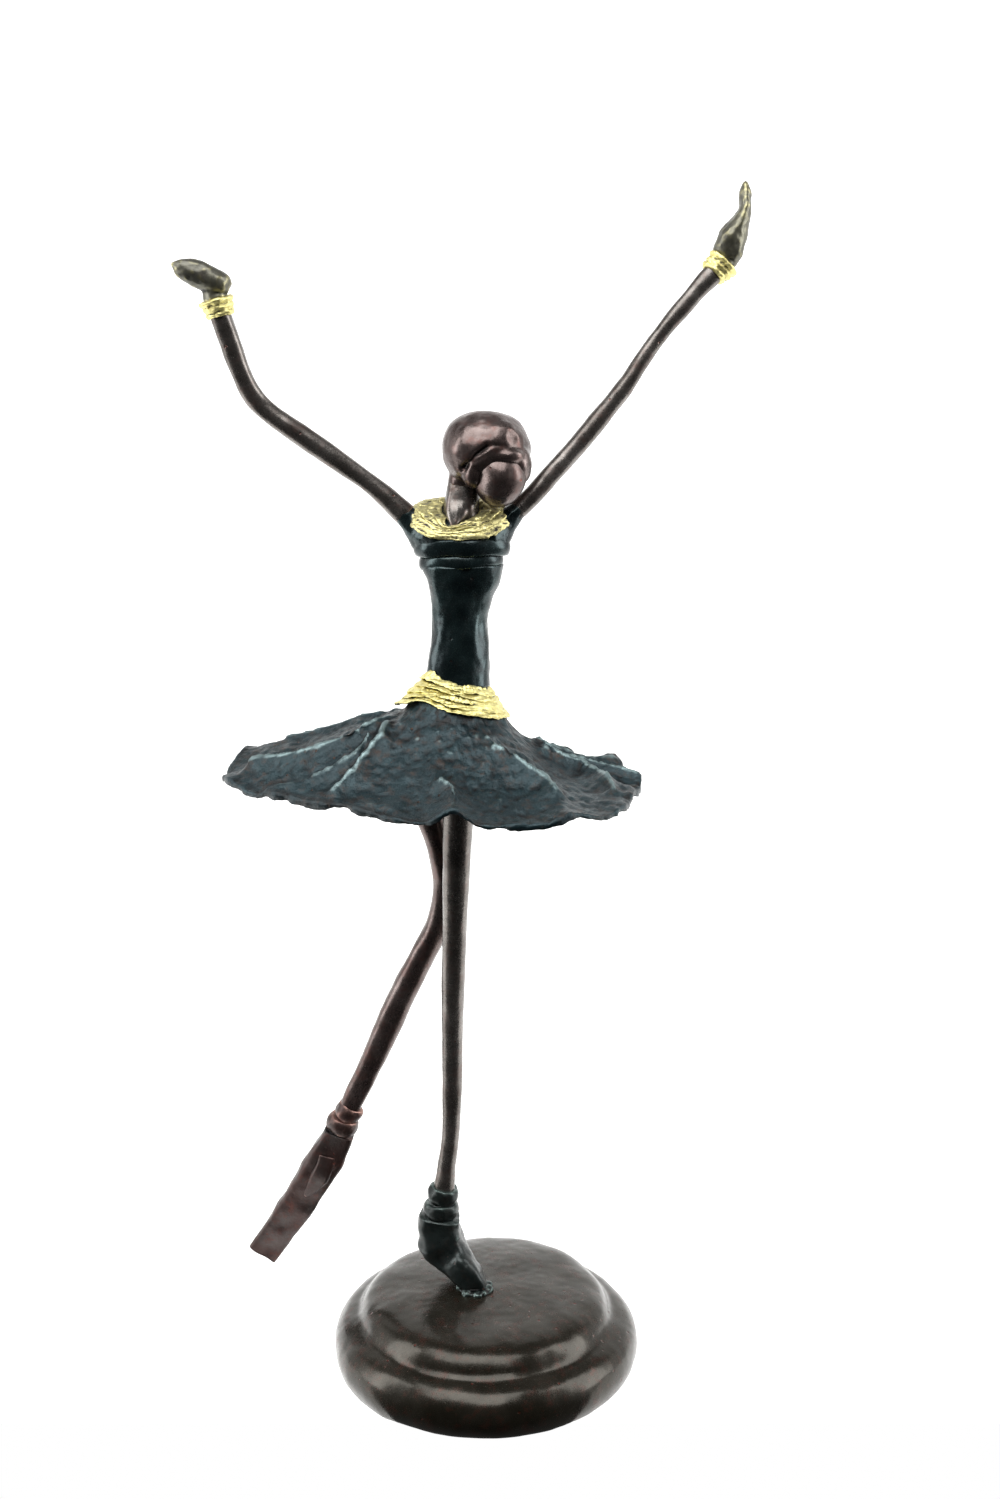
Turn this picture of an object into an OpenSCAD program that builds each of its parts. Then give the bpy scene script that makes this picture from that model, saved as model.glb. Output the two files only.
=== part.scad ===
// Bronze statuette of a dancer on a round plinth, cast in sections and brazed together.
// Millimetres, +Z up, +X to the viewer's right, -Y towards the viewer.
// The origin is the centre of the plinth's underside. "Right" and "left" are the dancer's own.

/* [Plinth] */
// Radius of the rim that stands on the table
plinth_rim_r = 42.2; // [40:0.1:52]
// How far the bulge stands out past the rim
plinth_bulge = 1.8; // [1:0.1:3]
// Height of the plinth's flat top
plinth_h = 21.5; // [18:0.1:26]
// Radius of the upper step
step_r = 35.4; // [30:0.1:37]
// Wall thickness of the hollow plinth
plinth_wall = 3; // [2.2:0.1:4]

/* [Toe fixing] */
// Radius of the stud that holds the figure
pin_r = 2; // [1.6:0.1:2.4]
// Depth of the stud in the toe
pin_depth = 4.4; // [3:0.1:5]
// Radius of the washer under the plinth
washer_r = 4.6; // [4:0.1:6]
// Thickness of the washer
washer_t = 1.2; // [0.8:0.1:2]
// Radius of the braze bead round the toe
braze_r = 5.6; // [5:0.1:7]
// Height of the braze bead
braze_h = 1; // [0.7:0.1:1.5]

/* [Legs] */
// Radius of both ankle spigots
ankle_spigot_r = 1.8; // [1.5:0.1:2]
// Width of one ankle band, along the leg
ribbon_w = 4.6; // [3.8:0.1:5.6]
// Depth of an ankle spigot in its shoe
ankle_depth = 4; // [3:0.1:5]
// Radius of both hip spigots
hip_spigot_r = 2.6; // [2:0.1:3]
// Depth of a hip spigot in the hip core
hip_depth = 8; // [6:0.1:9]

/* [Skirt] */
// Thickness of the skirt at its hem
hem_t = 1.5; // [1.2:0.1:2.2]
// Width of the skirt from tip to tip
skirt_w = 114; // [94:1:138]
// Depth of the skirt from front to back
skirt_d = 92; // [76:1:112]
// Height of the hem above the plinth's top
hem_z = 148.5; // [146:0.5:152]
// Height of the folds at the hem, from mean to crest
fold_h = 2.6; // [1.5:0.1:3.2]

/* [Belt] */
// Width of one wrap
wrap_w = 1.85; // [1.5:0.05:2.25]
// Thickness of one wrap
wrap_t = 1.6; // [1.2:0.1:2]
// Tilt of the belt, down towards the dancer's left
belt_tilt = 5; // [3:0.5:6]

/* [Torso] */
// Half width of the waist
waist_r = 7.6; // [7:0.1:8.6]
// Half width of the bust
bust_r = 10.8; // [10:0.1:12]
// Radius of the waist spigot between the hip core and the torso
waist_spigot_r = 4.5; // [3.5:0.1:5]
// Radius of the chest spigot between the torso and the shoulders
chest_spigot_r = 4; // [3:0.1:4.5]
// Depth of the waist and chest spigots
trunk_depth = 8; // [6:0.1:9]
// Thickness of a rolled bodice edge
trim_t = 2; // [1.6:0.1:2.4]

/* [Head and neck] */
// Radius of the neck
neck_r = 4.5; // [3.6:0.1:4.8]
// Radius of the spigots at both ends of the neck
neck_spigot_r = 2.2; // [1.6:0.1:2.6]
// Depth of the spigots at both ends of the neck
neck_depth = 3.5; // [2.5:0.1:4]
// Radius of the hair cap
hair_r = 11.9; // [11:0.1:12.5]
// Half width of the face
face_r = 6.1; // [5.5:0.1:6.6]

/* [Collar] */
// Thickness of one collar strip
strip_t = 1.1; // [0.8:0.1:1.4]

/* [Arms] */
// Radius of the shoulder spigots
shoulder_spigot_r = 1.9; // [1.5:0.1:2.1]
// Depth of the shoulder spigots
shoulder_depth = 4; // [3:0.1:5]
// Radius of the wrist spigots
wrist_spigot_r = 1.3; // [1:0.1:1.5]
// Length of the part of a wrist spigot that is inside the hand
wrist_depth = 3; // [2:0.1:4]
// Width of a bracelet, along the arm
bracelet_w = 4.6; // [3.6:0.1:5.6]
// Radius of a bracelet
bracelet_r = 4; // [3.6:0.1:4.6]

/* [Fits] */
// Gap round every spigot and pin, filled with braze
fit_gap = 0.06; // [0.04:0.01:0.1]
// Gap between a brass wrap or strip and the casting under it
trim_gap = 0.05; // [0.03:0.01:0.1]

/* [Hidden] */

$fn = 64;
// Small lap that lets two shapes of one casting fuse
lap = 0.5;

// Brass wraps in the belt and brass strips in the collar, as NODES lists them
belt_wraps = 5;
collar_strips = 4;

skin = "#3a211c";
cloth = "#26302f";
brass = "#c8a840";

// Everything above the plinth is placed from the centre of the plinth's top, beginning with the toe
toe_xy = [-3.2, -2.6];
toe_z = braze_h;

// Stations of a limb are [x, y, z, half width across the view, half depth along the view]
standing_stations = [
    [-7.0, 1.0, 150.5, 4.3, 4.2],
    [-7.5, 1.5, 132.5, 4.1, 4.2],
    [-8.1, 2.0, 114.5, 3.7, 3.9],
    [-8.7, 2.5, 95.5, 3.3, 3.6],
    [-9.3, 3.0, 73.5, 2.85, 3.0],
    [-9.8, 3.0, 46.5, 2.6, 2.7],
    [-11.2, 3.4, 34.5, 2.75, 2.8],
    [-12.0, 3.5, 28.5, 3.1, 3.1]
];
free_stations = [
    [-16.8, 5.5, 150.5, 3.9, 4.0],
    [-15.6, 7.5, 138.5, 3.9, 4.1],
    [-12.7, 9.3, 127.5, 3.8, 4.0],
    [-11.3, 11.0, 116.5, 3.8, 4.0],
    [-13.0, 12.2, 105.5, 3.7, 3.9],
    [-18.4, 13.3, 94.5, 3.6, 3.7],
    [-25.4, 15.0, 79.5, 3.75, 3.6],
    [-33.3, 16.6, 61.5, 3.6, 3.4],
    [-39.6, 18.1, 47.5, 3.2, 3.0]
];

// ---- Vectors ----

function unit(v) = v / norm(v);
function place_of(s) = [s[0], s[1], s[2]];
function last(list) = list[len(list) - 1];

// Direction in which a limb leaves its first station, and arrives at its last
function start_dir(s) = unit(place_of(s[1]) - place_of(s[0]));
function end_dir(s) = unit(place_of(last(s)) - place_of(s[len(s) - 2]));

// ---- Smooth curves and swept solids ----

// Point at share t of the span from p1 to p2 of a smooth curve
function curve_point(p0, p1, p2, p3, t) =
    0.5 * (2 * p1 + (p2 - p0) * t + (2 * p0 - 5 * p1 + 4 * p2 - p3) * t * t
    + (3 * p1 - p0 - 3 * p2 + p3) * t * t * t);

// Stations filled in with steps points to each span
function smooth(s, steps) = concat(
    [
        for (i = [0:len(s) - 2]) for (k = [0:steps - 1])
        curve_point(s[max(i - 1, 0)], s[i], s[i + 1], s[min(i + 2, len(s) - 1)], k / steps)
    ],
    [last(s)]
);

// Distance factor of a rounded square of the given squareness, 0 for a true ellipse
function squared(a, squareness) =
    1 / pow(pow(abs(cos(a)), 2 + squareness) + pow(abs(sin(a)), 2 + squareness), 1 / (2 + squareness));

// Ring of points square to the path at one station
function ring(s, dir, sides, squareness) = let (
    depth = unit([0, 1, 0] - dir * dir[1]),
    side = cross(depth, dir)
) [
    for (k = [0:sides - 1]) let (a = 360 * k / sides, f = squared(a, squareness))
    place_of(s) + side * (s[3] * f * cos(a)) + depth * (s[4] * f * sin(a))
];

function path_dir(p, i) = unit(place_of(p[min(i + 1, len(p) - 1)]) - place_of(p[max(i - 1, 0)]));

function limb_rings(stations, steps, sides, squareness) = let (p = smooth(stations, steps)) [
    for (i = [0:len(p) - 1])
    ring(p[i], i == 0 ? start_dir(stations) : i == len(p) - 1 ? end_dir(stations) : path_dir(p, i),
        sides, squareness)
];

// Closed solid through a list of rings, with flat ends
module loft(rings) {
    n = len(rings[0]);
    m = len(rings);
    walls = [
        for (i = [0:m - 2]) for (k = [0:n - 1]) let (
            a = i * n + k,
            b = i * n + (k + 1) % n
        ) each [[a, b + n, b], [a, a + n, b + n]]
    ];
    first_cap = [for (k = [1:n - 2]) [0, k, k + 1]];
    last_cap = [for (k = [1:n - 2]) (m - 1) * n * [1, 1, 1] + [0, k + 1, k]];
    polyhedron([for (r = rings) each r], concat(walls, first_cap, last_cap));
}

// Closed solid through rings whose last one meets the first again
module loop_loft(rings) {
    n = len(rings[0]);
    m = len(rings);
    polyhedron([for (r = rings) each r], [
        for (i = [0:m - 1]) for (k = [0:n - 1]) let (
            a = i * n + k,
            b = i * n + (k + 1) % n,
            c = ((i + 1) % m) * n + k,
            d = ((i + 1) % m) * n + (k + 1) % n
        ) each [[a, b, d], [a, d, c]]
    ]);
}

module limb(stations, steps = 3, sides = 16, squareness = 0) {
    loft(limb_rings(stations, steps, sides, squareness));
}

// Stands children, drawn along +Z, at a point and along a direction
module along(point, dir) {
    translate(point)
        rotate([0, acos(dir[2]), atan2(dir[1], dir[0])])
            children();
}

// Stands children on the plinth's top
module on_plinth() {
    translate([0, 0, plinth_h])
        children();
}

// Spigot of a limb that points out of it along dir
module spigot(point, dir, r, depth) {
    along(point - dir * lap, dir)
        cylinder(r = r, h = depth + lap);
}

// Bore that takes a spigot, cut inwards along dir
module socket(point, dir, r, depth) {
    along(point - dir * lap, dir)
        cylinder(r = r + fit_gap, h = depth + lap + fit_gap);
}

// ---- Plinth and toe fixing ----

// Underside of the boss that the washer bears on
boss_z = plinth_h - plinth_wall - 1.5;

module plinth_outline(grow) {
    bulge_r = plinth_rim_r + plinth_bulge;
    shelf_h = plinth_h * 0.62;
    polygon(concat(
        [[0, 0], [plinth_rim_r - grow, 0]],
        [
            for (a = [-50:10:80])
            [bulge_r - 6 + (6 - grow) * cos(a), 5.4 + (a < 0 ? 5.4 : shelf_h - 6.4 - grow) * sin(a)]
        ],
        [
            [step_r + 2.4 - grow, shelf_h - grow],
            [step_r + 0.9 - grow, shelf_h + 0.7 - grow],
            [step_r - grow, shelf_h + 3 - grow],
            [step_r - 1.2 - grow, plinth_h - 3.4 - grow],
            [step_r - 3.4 - grow, plinth_h - 2.5 - grow],
            [step_r * 0.62, plinth_h - 0.9 - grow],
            [braze_r + 4, plinth_h - grow],
            [0, plinth_h - grow]
        ]
    ));
}

module plinth() {
    color(skin)
        difference() {
            rotate_extrude($fn = 128)
                plinth_outline(0);
            difference() {
                rotate_extrude($fn = 128)
                    plinth_outline(plinth_wall);
                translate([toe_xy[0], toe_xy[1], boss_z])
                    cylinder(r = washer_r + 1.4, h = plinth_h);
            }
            translate([toe_xy[0], toe_xy[1], 0])
                cylinder(r = pin_r + fit_gap, h = plinth_h + 1);
        }
}

module toe_pin() {
    color(brass)
        translate([toe_xy[0], toe_xy[1], 0]) {
            translate([0, 0, boss_z - washer_t])
                cylinder(r = pin_r, h = plinth_h + toe_z + pin_depth - boss_z + washer_t);
            translate([0, 0, boss_z - washer_t - 1.1])
                cylinder(r1 = pin_r * 0.9, r2 = pin_r + 0.8, h = 1.1);
        }
}

module pin_washer() {
    color("silver")
        translate([toe_xy[0], toe_xy[1], boss_z - washer_t])
            difference() {
                cylinder(r = washer_r, h = washer_t);
                translate([0, 0, -1])
                    cylinder(r = pin_r + fit_gap, h = washer_t + 2);
            }
}

module toe_braze() {
    color(skin)
        translate([toe_xy[0], toe_xy[1], plinth_h])
            difference() {
                rotate_extrude()
                    polygon(concat(
                        [[0, 0]],
                        [for (a = [0:15:75]) [braze_r - 1.6 + 1.6 * cos(a), braze_h * sin(a)]],
                        [[braze_r - 1.6, braze_h], [0, braze_h]]
                    ));
                translate([0, 0, -1])
                    cylinder(r = pin_r + fit_gap, h = braze_h + 2);
            }
}

// ---- Standing foot ----

standing_ankle = place_of(last(standing_stations));
standing_ankle_dir = end_dir(standing_stations);
// Centre of the shoe's mouth, below both bands
standing_mouth = standing_ankle + standing_ankle_dir * 2 * ribbon_w;

module ankle_band(point, dir, r) {
    along(point, dir)
        difference() {
            rotate_extrude()
                polygon(concat(
                    [[0, 0], [r - 0.9, 0]],
                    [for (a = [-75:15:75]) [r - 0.9 + 0.9 * cos(a), ribbon_w / 2 * (1 + sin(a))]],
                    [[r - 0.9, ribbon_w], [0, ribbon_w]]
                ));
            translate([0, 0, -1])
                cylinder(r = ankle_spigot_r + fit_gap, h = ribbon_w + 2);
        }
}

module standing_ribbon_upper() {
    color(skin)
        ankle_band(standing_ankle, standing_ankle_dir, 4.5);
}

module standing_ribbon_lower() {
    color(skin)
        ankle_band(standing_ankle + standing_ankle_dir * ribbon_w, standing_ankle_dir, 5.1);
}

module standing_leg() {
    color(skin) {
        limb(standing_stations);
        spigot(place_of(standing_stations[0]), -start_dir(standing_stations), hip_spigot_r, hip_depth);
        spigot(standing_ankle, standing_ankle_dir, ankle_spigot_r, 2 * ribbon_w + ankle_depth);
    }
}

// Rings of the shoe, each [centre, half width, half depth, direction that the shoe runs in]
standing_shoe_rings = [
    [standing_mouth, 5.4, 5.2, standing_ankle_dir],
    [standing_mouth + standing_ankle_dir * 3, 5.9, 5.6, unit([0.0, -0.05, -1])],
    [[-12.5, 3.2, 12], 6.2, 5.8, unit([0.35, -0.2, -1])],
    [[-10.8, 2.2, 8.9], 5.6, 5.4, unit([0.7, -0.45, -1])],
    [[-8.0, 0.4, 5.9], 4.6, 4.8, unit([0.75, -0.5, -1])],
    [[-5.4, -1.4, 3.4], 4.1, 4.3, unit([0.6, -0.4, -1])],
    [[toe_xy[0], toe_xy[1], toe_z], 3.9, 3.7, [0, 0, -1]]
];

module standing_shoe() {
    color(skin)
        difference() {
            loft([
                for (s = standing_shoe_rings)
                ring([s[0][0], s[0][1], s[0][2], s[1], s[2]], s[3], 20, 0.8)
            ]);
            socket(standing_mouth, standing_ankle_dir, ankle_spigot_r, ankle_depth);
            socket([toe_xy[0], toe_xy[1], toe_z], [0, 0, 1], pin_r, pin_depth);
        }
}

// ---- Free leg ----

free_ankle = place_of(last(free_stations));
free_ankle_dir = end_dir(free_stations);
free_mouth = free_ankle + free_ankle_dir * 2 * ribbon_w;

module free_leg() {
    color(skin) {
        limb(free_stations);
        spigot(place_of(free_stations[0]), -start_dir(free_stations), hip_spigot_r, hip_depth);
        spigot(free_ankle, free_ankle_dir, ankle_spigot_r, 2 * ribbon_w + ankle_depth);
    }
}

module free_ribbon_upper() {
    color(skin)
        ankle_band(free_ankle, free_ankle_dir, 4.1);
}

module free_ribbon_lower() {
    color(skin)
        ankle_band(free_ankle + free_ankle_dir * ribbon_w, free_ankle_dir, 4.7);
}

free_shoe_stations = [
    [free_mouth[0], free_mouth[1], free_mouth[2], 4.6, 4.4],
    [free_mouth[0] + free_ankle_dir[0] * 3, free_mouth[1] + 0.4, free_mouth[2] + free_ankle_dir[2] * 3, 5, 4.3],
    [-50.5, 20.2, 25, 5.2, 3.9],
    [-56.2, 21.0, 15.5, 5.1, 3.4],
    [-62.0, 21.8, 6.5, 5.0, 2.9],
    [-67.8, 22.4, -1.9, 4.7, 2.4]
];

module free_shoe() {
    color(skin)
        difference() {
            loft([
                for (i = [0:len(free_shoe_path) - 1])
                ring(free_shoe_path[i], i == 0 ? free_ankle_dir : path_dir(free_shoe_path, i), 20, 2)
            ]);
            socket(free_mouth, free_ankle_dir, ankle_spigot_r, ankle_depth);
        }
}

free_shoe_path = smooth(free_shoe_stations, 3);

// ---- Hip core, belt and waist, all in the belt's own tilted frame ----

// Top of the belt on its axis, and the half width of the core there and at the belt's foot
belt_top = [-7.2, 1, 175.9];
belt_top_r = 8.2;
belt_foot_r = 14.2;
belt_h = belt_wraps * wrap_w;

module belt_frame() {
    translate(belt_top)
        rotate([0, belt_tilt, 0])
            children();
}

// Radius of the core at a depth below the belt's top
function core_r(depth) = belt_top_r + (belt_foot_r - belt_top_r) * depth / belt_h;

skirt_seat_r = belt_foot_r - 1.8;
skirt_neck_h = 5;

module hip_core() {
    color(cloth)
        difference() {
            union() {
                belt_frame()
                    rotate_extrude()
                        polygon([
                            [0, 0],
                            [belt_top_r, 0],
                            [belt_foot_r, -belt_h],
                            [skirt_seat_r, -belt_h],
                            [skirt_seat_r, -belt_h - skirt_neck_h - 4],
                            [0, -belt_h - skirt_neck_h - 4]
                        ]);
                for (s = [standing_stations, free_stations])
                    along(place_of(s[0]), -start_dir(s))
                        cylinder(r = hip_spigot_r + 1.6, h = hip_depth);
                translate([belt_top[0], belt_top[1], belt_top[2] - lap])
                    cylinder(r = waist_spigot_r, h = trunk_depth + lap);
            }
            for (s = [standing_stations, free_stations])
                socket(place_of(s[0]), -start_dir(s), hip_spigot_r, hip_depth);
        }
}

// One ragged brass wrap, counted from the top
module belt_strip(number) {
    upper = (number - 1) * wrap_w;
    lower = number * wrap_w;
    inner_upper = core_r(upper) + trim_gap;
    inner_lower = core_r(lower) + trim_gap;
    color(brass)
        belt_frame()
            rotate_extrude()
                polygon(concat(
                    [[inner_upper, -upper], [inner_lower, -lower]],
                    [
                        for (a = [-90:30:90])
                        [inner_lower + (inner_upper - inner_lower) * (1 + sin(a)) / 2
                            + wrap_t * (0.45 + 0.55 * cos(a)),
                        -(upper + lower) / 2 + wrap_w / 2 * sin(a)]
                    ]
                ));
}

// ---- Skirt ----

skirt_axis = [belt_top[0], belt_top[1]];
skirt_mid = [-14.8, -2];
skirt_sides = 120;
skirt_steps = 12;
neck_t = 2;

// Folds round the hem, each [angle, height, angular width]
folds = [
    [186, 0.9, 8], [212, 0.7, 7], [232, 0.5, 7], [263, 1.3, 5], [296, 0.7, 7],
    [318, 0.8, 6], [338, 0.8, 7], [3, 0.9, 8], [27, 1.5, 9], [50, 1.3, 8],
    [75, 0.6, 9], [102, 1.1, 9], [128, 0.7, 9], [157, 2.1, 10]
];

function sum(list, i = 0) = i == len(list) ? 0 : list[i] + sum(list, i + 1);
function turn_between(a, b) = abs((a - b + 540) % 360 - 180);

// Height of the hem above its mean at an angle
function fold_at(a) = fold_h * (sum([for (f = folds) f[1] * exp(-pow(turn_between(a, f[0]) / f[2], 2))]) - 0.4);

// Outline of the hem as seen from above, in shares of its half width and half depth
hem_outline = [
    [1, 0.1], [0.98, -0.18], [0.86, -0.7], [0.62, -0.97], [0.35, -1.02], [0, -0.94],
    [-0.45, -0.58], [-0.84, -0.22], [-1.0, 0.06], [-0.96, 0.4], [-0.78, 0.78], [-0.4, 0.95],
    [0, 1], [0.5, 0.93], [0.86, 0.58]
];

// Point of the hem at a share u of the way round
function hem_xy(u) = let (
    n = len(hem_outline),
    i = floor(u * n),
    p = curve_point(hem_outline[(i + n - 1) % n], hem_outline[i % n], hem_outline[(i + 1) % n],
        hem_outline[(i + 2) % n], u * n - i)
) skirt_mid + [p[0] * skirt_w / 2, p[1] * skirt_d / 2];

// How fast the cloth drops from the neck: slowly on the dancer's right, fast on the left
function drop_power(a) = 1.9 + 0.65 * cos(a);

// Point of the outer or inner face at shares u of the way round and t of the way down
function skirt_point(u, t, under) = let (
    hem = hem_xy(u),
    a = atan2(hem[1] - skirt_axis[1], hem[0] - skirt_axis[0]),
    neck_r = skirt_seat_r + trim_gap + (under ? 0 : neck_t),
    // The neck follows the tilt of the belt
    neck = skirt_axis - [sin(belt_tilt) * belt_h, 0] + neck_r * [cos(a) * cos(belt_tilt), sin(a)],
    neck_z = belt_top[2] - cos(belt_tilt) * belt_h - sin(belt_tilt) * neck_r * cos(a) - trim_gap,
    foot_z = hem_z + fold_at(a) * t * t - (under ? hem_t : 0),
    xy = neck + (hem - neck) * t,
    under_drop = under ? skirt_neck_h * pow(1 - t, 6) : 0
) [xy[0], xy[1], foot_z + (neck_z - foot_z) * pow(1 - t, drop_power(a)) - under_drop];

function skirt_ring(t, under) = [
    for (k = [skirt_sides - 1:-1:0])
    skirt_point(k / skirt_sides, t, under)
];

module skirt() {
    color(cloth)
        loop_loft(concat(
            [for (i = [0:skirt_steps]) skirt_ring(i / skirt_steps, false)],
            [for (i = [skirt_steps:-1:0]) skirt_ring(i / skirt_steps, true)]
        ));
}

// ---- Torso and shoulders ----

belt_axis = [sin(belt_tilt), 0, cos(belt_tilt)];
torso_top_z = 206.9;
chest_xy = [-5.9, 0.2];
chest_w = 11.2;
chest_d = 8.4;
trims = 2;
trunk_sides = 32;

torso_stations = [
    [belt_top[0], belt_top[1], belt_top[2], 8.9, 7.8],
    [-6.8, 0.9, 182.5, 8.3, 7.2],
    [-6.7, 0.7, 192.5, waist_r, 6.6],
    [-6.3, 0.5, 199.5, 8.5, 7.1],
    [-5.9, 0.3, 203.9, bust_r - 0.9, 7.9],
    [chest_xy[0], chest_xy[1], torso_top_z, bust_r, 8.2]
];

module torso() {
    path = smooth(torso_stations, 3);
    color(cloth)
        difference() {
            loft([
                for (i = [0:len(path) - 1])
                ring(path[i], i == 0 ? belt_axis : [0, 0, 1], trunk_sides, 0)
            ]);
            socket(belt_top, belt_axis, waist_spigot_r, trunk_depth);
            socket([chest_xy[0], chest_xy[1], torso_top_z], [0, 0, -1], chest_spigot_r, trunk_depth);
        }
}

// One rolled edge of the bodice, counted from below
module bodice_trim(number) {
    foot = torso_top_z + (number - 1) * trim_t;
    color(cloth)
        difference() {
            loft([
                for (a = [-80:20:80])
                ring(
                    [chest_xy[0], chest_xy[1], foot + trim_t / 2 * (1 + sin(a) / sin(80)),
                    chest_w + 0.5 * number + 0.9 * (cos(a) - 1), chest_d + 0.9 * (cos(a) - 1)],
                    [0, 0, 1], trunk_sides, 0
                )
            ]);
            translate([chest_xy[0], chest_xy[1], foot - 1])
                cylinder(r = chest_spigot_r + fit_gap, h = trim_t + 2);
        }
}

yoke_z = torso_top_z + trims * trim_t;

// Levels of the yoke from chest to neck:
// [x, y, z, half width, half depth, rise from front to back per mm, lift of the shoulders]
yoke_levels = [
    [-5.9, 0.2, yoke_z, 12.2, 8.2, 0, 0],
    [-6.2, 0.1, yoke_z + 3.2, 13.2, 8.5, 0.06, 0],
    [-6.5, 0.0, yoke_z + 6.4, 13.4, 8.3, 0.2, 0.8],
    [-6.7, 0.0, yoke_z + 8.8, 12.4, 7.5, 0.4, 1.6],
    [-6.6, -0.2, yoke_z + 10.2, 9.6, 6.3, 0.52, 1.2],
    [-6.3, -0.4, yoke_z + 10.8, neck_r + 0.4, neck_r + 0.3, 0.6, 0]
];
yoke_steps = 3;
yoke_path = smooth(yoke_levels, yoke_steps);
yoke_sides = 48;

// Level of the yoke at any height t, in levels
function yoke_level(t) = let (
    i = min(floor(t), len(yoke_levels) - 2)
) curve_point(yoke_levels[max(i - 1, 0)], yoke_levels[i], yoke_levels[i + 1],
    yoke_levels[min(i + 2, len(yoke_levels) - 1)], t - i);

function yoke_point(t, a) = let (s = yoke_level(t)) [
    s[0] + s[3] * cos(a),
    s[1] + s[4] * sin(a),
    s[2] + s[5] * s[4] * sin(a) + s[6] * pow(cos(a), 2)
];

function yoke_normal(t, a) = unit(cross(
    yoke_point(t, a + 2) - yoke_point(t, a - 2),
    yoke_point(t + 0.05, a) - yoke_point(t - 0.05, a)
));

neck_base = place_of(last(yoke_levels));
neck_base_dir = unit([0, -last(yoke_levels)[5], 1]);

right_shoulder = [-22.0, -0.3, 221.5];
left_shoulder = [8.6, 0.6, 221.5];

right_arm_stations = [
    [right_shoulder[0], right_shoulder[1], right_shoulder[2], 2.9, 2.9],
    [-29.6, -1.0, 228.3, 2.6, 2.6],
    [-42.6, -2.5, 237.6, 2.6, 2.6],
    [-53.6, -3.8, 245.2, 2.65, 2.6],
    [-59.0, -4.6, 250, 2.75, 2.6],
    [-62.2, -5.6, 256.1, 2.65, 2.6],
    [-64.6, -7.2, 263.5, 2.7, 2.6],
    [-66.7, -8.4, 270.7, 2.8, 2.7]
];
left_arm_stations = [
    [left_shoulder[0], left_shoulder[1], left_shoulder[2], 2.9, 2.9],
    [15.4, 2.0, 228.3, 2.75, 2.7],
    [26.6, 4.0, 240.8, 2.6, 2.5],
    [36.9, 5.0, 253.3, 2.45, 2.4],
    [45.2, 6.0, 265.7, 2.3, 2.3],
    [55.4, 7.0, 277.8, 2.4, 2.3],
    [60.0, 7.6, 282.7, 2.6, 2.5]
];

module shoulder_yoke() {
    color(skin)
        difference() {
            union() {
                loft([
                    for (i = [0:(len(yoke_levels) - 1) * yoke_steps])
                    [for (k = [0:yoke_sides - 1]) yoke_point(i / yoke_steps, 360 * k / yoke_sides)]
                ]);
                spigot([chest_xy[0], chest_xy[1], yoke_z], [0, 0, -1], chest_spigot_r,
                    trims * trim_t + trunk_depth);
                for (s = [right_arm_stations, left_arm_stations])
                    along(place_of(s[0]) - start_dir(s) * 7, start_dir(s))
                        cylinder(r1 = s[0][3] + 1.2, r2 = s[0][3], h = 7);
            }
            socket(neck_base, -neck_base_dir, neck_spigot_r, neck_depth);
            for (s = [right_arm_stations, left_arm_stations])
                socket(place_of(s[0]), -start_dir(s), shoulder_spigot_r, shoulder_depth);
        }
}

// ---- Collar ----

// Lower and upper edge of the whole collar, in levels of the yoke: it hangs lowest at the front
function collar_edge(a, share) = let (front = (1 - sin(a)) / 2)
    (2.75 - 1.5 * pow(front, 2)) * (1 - share) + (4.6 - 0.3 * front) * share;

// One brass strip, counted from the outside
module collar_strip(number) {
    low = (number - 1) / collar_strips;
    high = (number - 0.06) / collar_strips;
    // Corners of the strip's section, each [share of its width, height above the yoke]
    section = [
        [1, trim_gap], [0.95, 0.6 * strip_t], [0.6, strip_t], [0.25, 0.95 * strip_t],
        [0.02, 0.5 * strip_t], [0, trim_gap]
    ];
    color(brass)
        loop_loft([
            for (c = section)
            [
                for (k = [0:yoke_sides - 1]) let (
                    a = 360 * k / yoke_sides,
                    t = collar_edge(a, low + (high - low) * c[0])
                ) yoke_point(t, a) + yoke_normal(t, a) * c[1]
            ]
        ]);
}

// ---- Neck and head ----

head_seat = [-5.3, 0.2, 227.9];
head_seat_dir = unit([0.25, 0, 1]);
hair_centre = [0.4, 0.3, 237.4];
hair_half_h = 10.2;
face_centre = [3.7, -5.6, 229.7];
face_half_h = 7.2;

module neck() {
    rings = [
        [[neck_base[0], neck_base[1], neck_base[2], neck_r + 0.2, neck_r + 0.1], neck_base_dir],
        [[-6.1, -0.5, 224, neck_r, neck_r], unit([0.05, -0.25, 1])],
        [[head_seat[0], head_seat[1], head_seat[2], neck_r - 0.1, neck_r - 0.1], head_seat_dir]
    ];
    color(skin) {
        loft([for (r = rings) ring(r[0], r[1], trunk_sides, 0)]);
        spigot(neck_base, -neck_base_dir, neck_spigot_r, neck_depth);
        spigot(head_seat, head_seat_dir, neck_spigot_r, neck_depth);
    }
}

// Egg of a half width and half height, slightly fuller above than below
module egg(centre, r, half_h, grow = 0) {
    translate(centre)
        rotate_extrude()
            polygon([
                for (a = [-90:9:90])
                [(r + grow) * cos(a) * (1 + 0.05 * sin(a) * cos(a)), (half_h + grow) * sin(a)]
            ]);
}

module face() {
    color(skin)
        egg(face_centre, face_r, face_half_h);
}

module hair_cap() {
    color(skin)
        difference() {
            union() {
                egg(hair_centre, hair_r, hair_half_h);
                along(head_seat, head_seat_dir)
                    cylinder(r = neck_r - 0.1, h = neck_depth + 2);
            }
            egg(face_centre, face_r, face_half_h, trim_gap);
            socket(head_seat, head_seat_dir, neck_spigot_r, neck_depth);
        }
}

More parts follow.
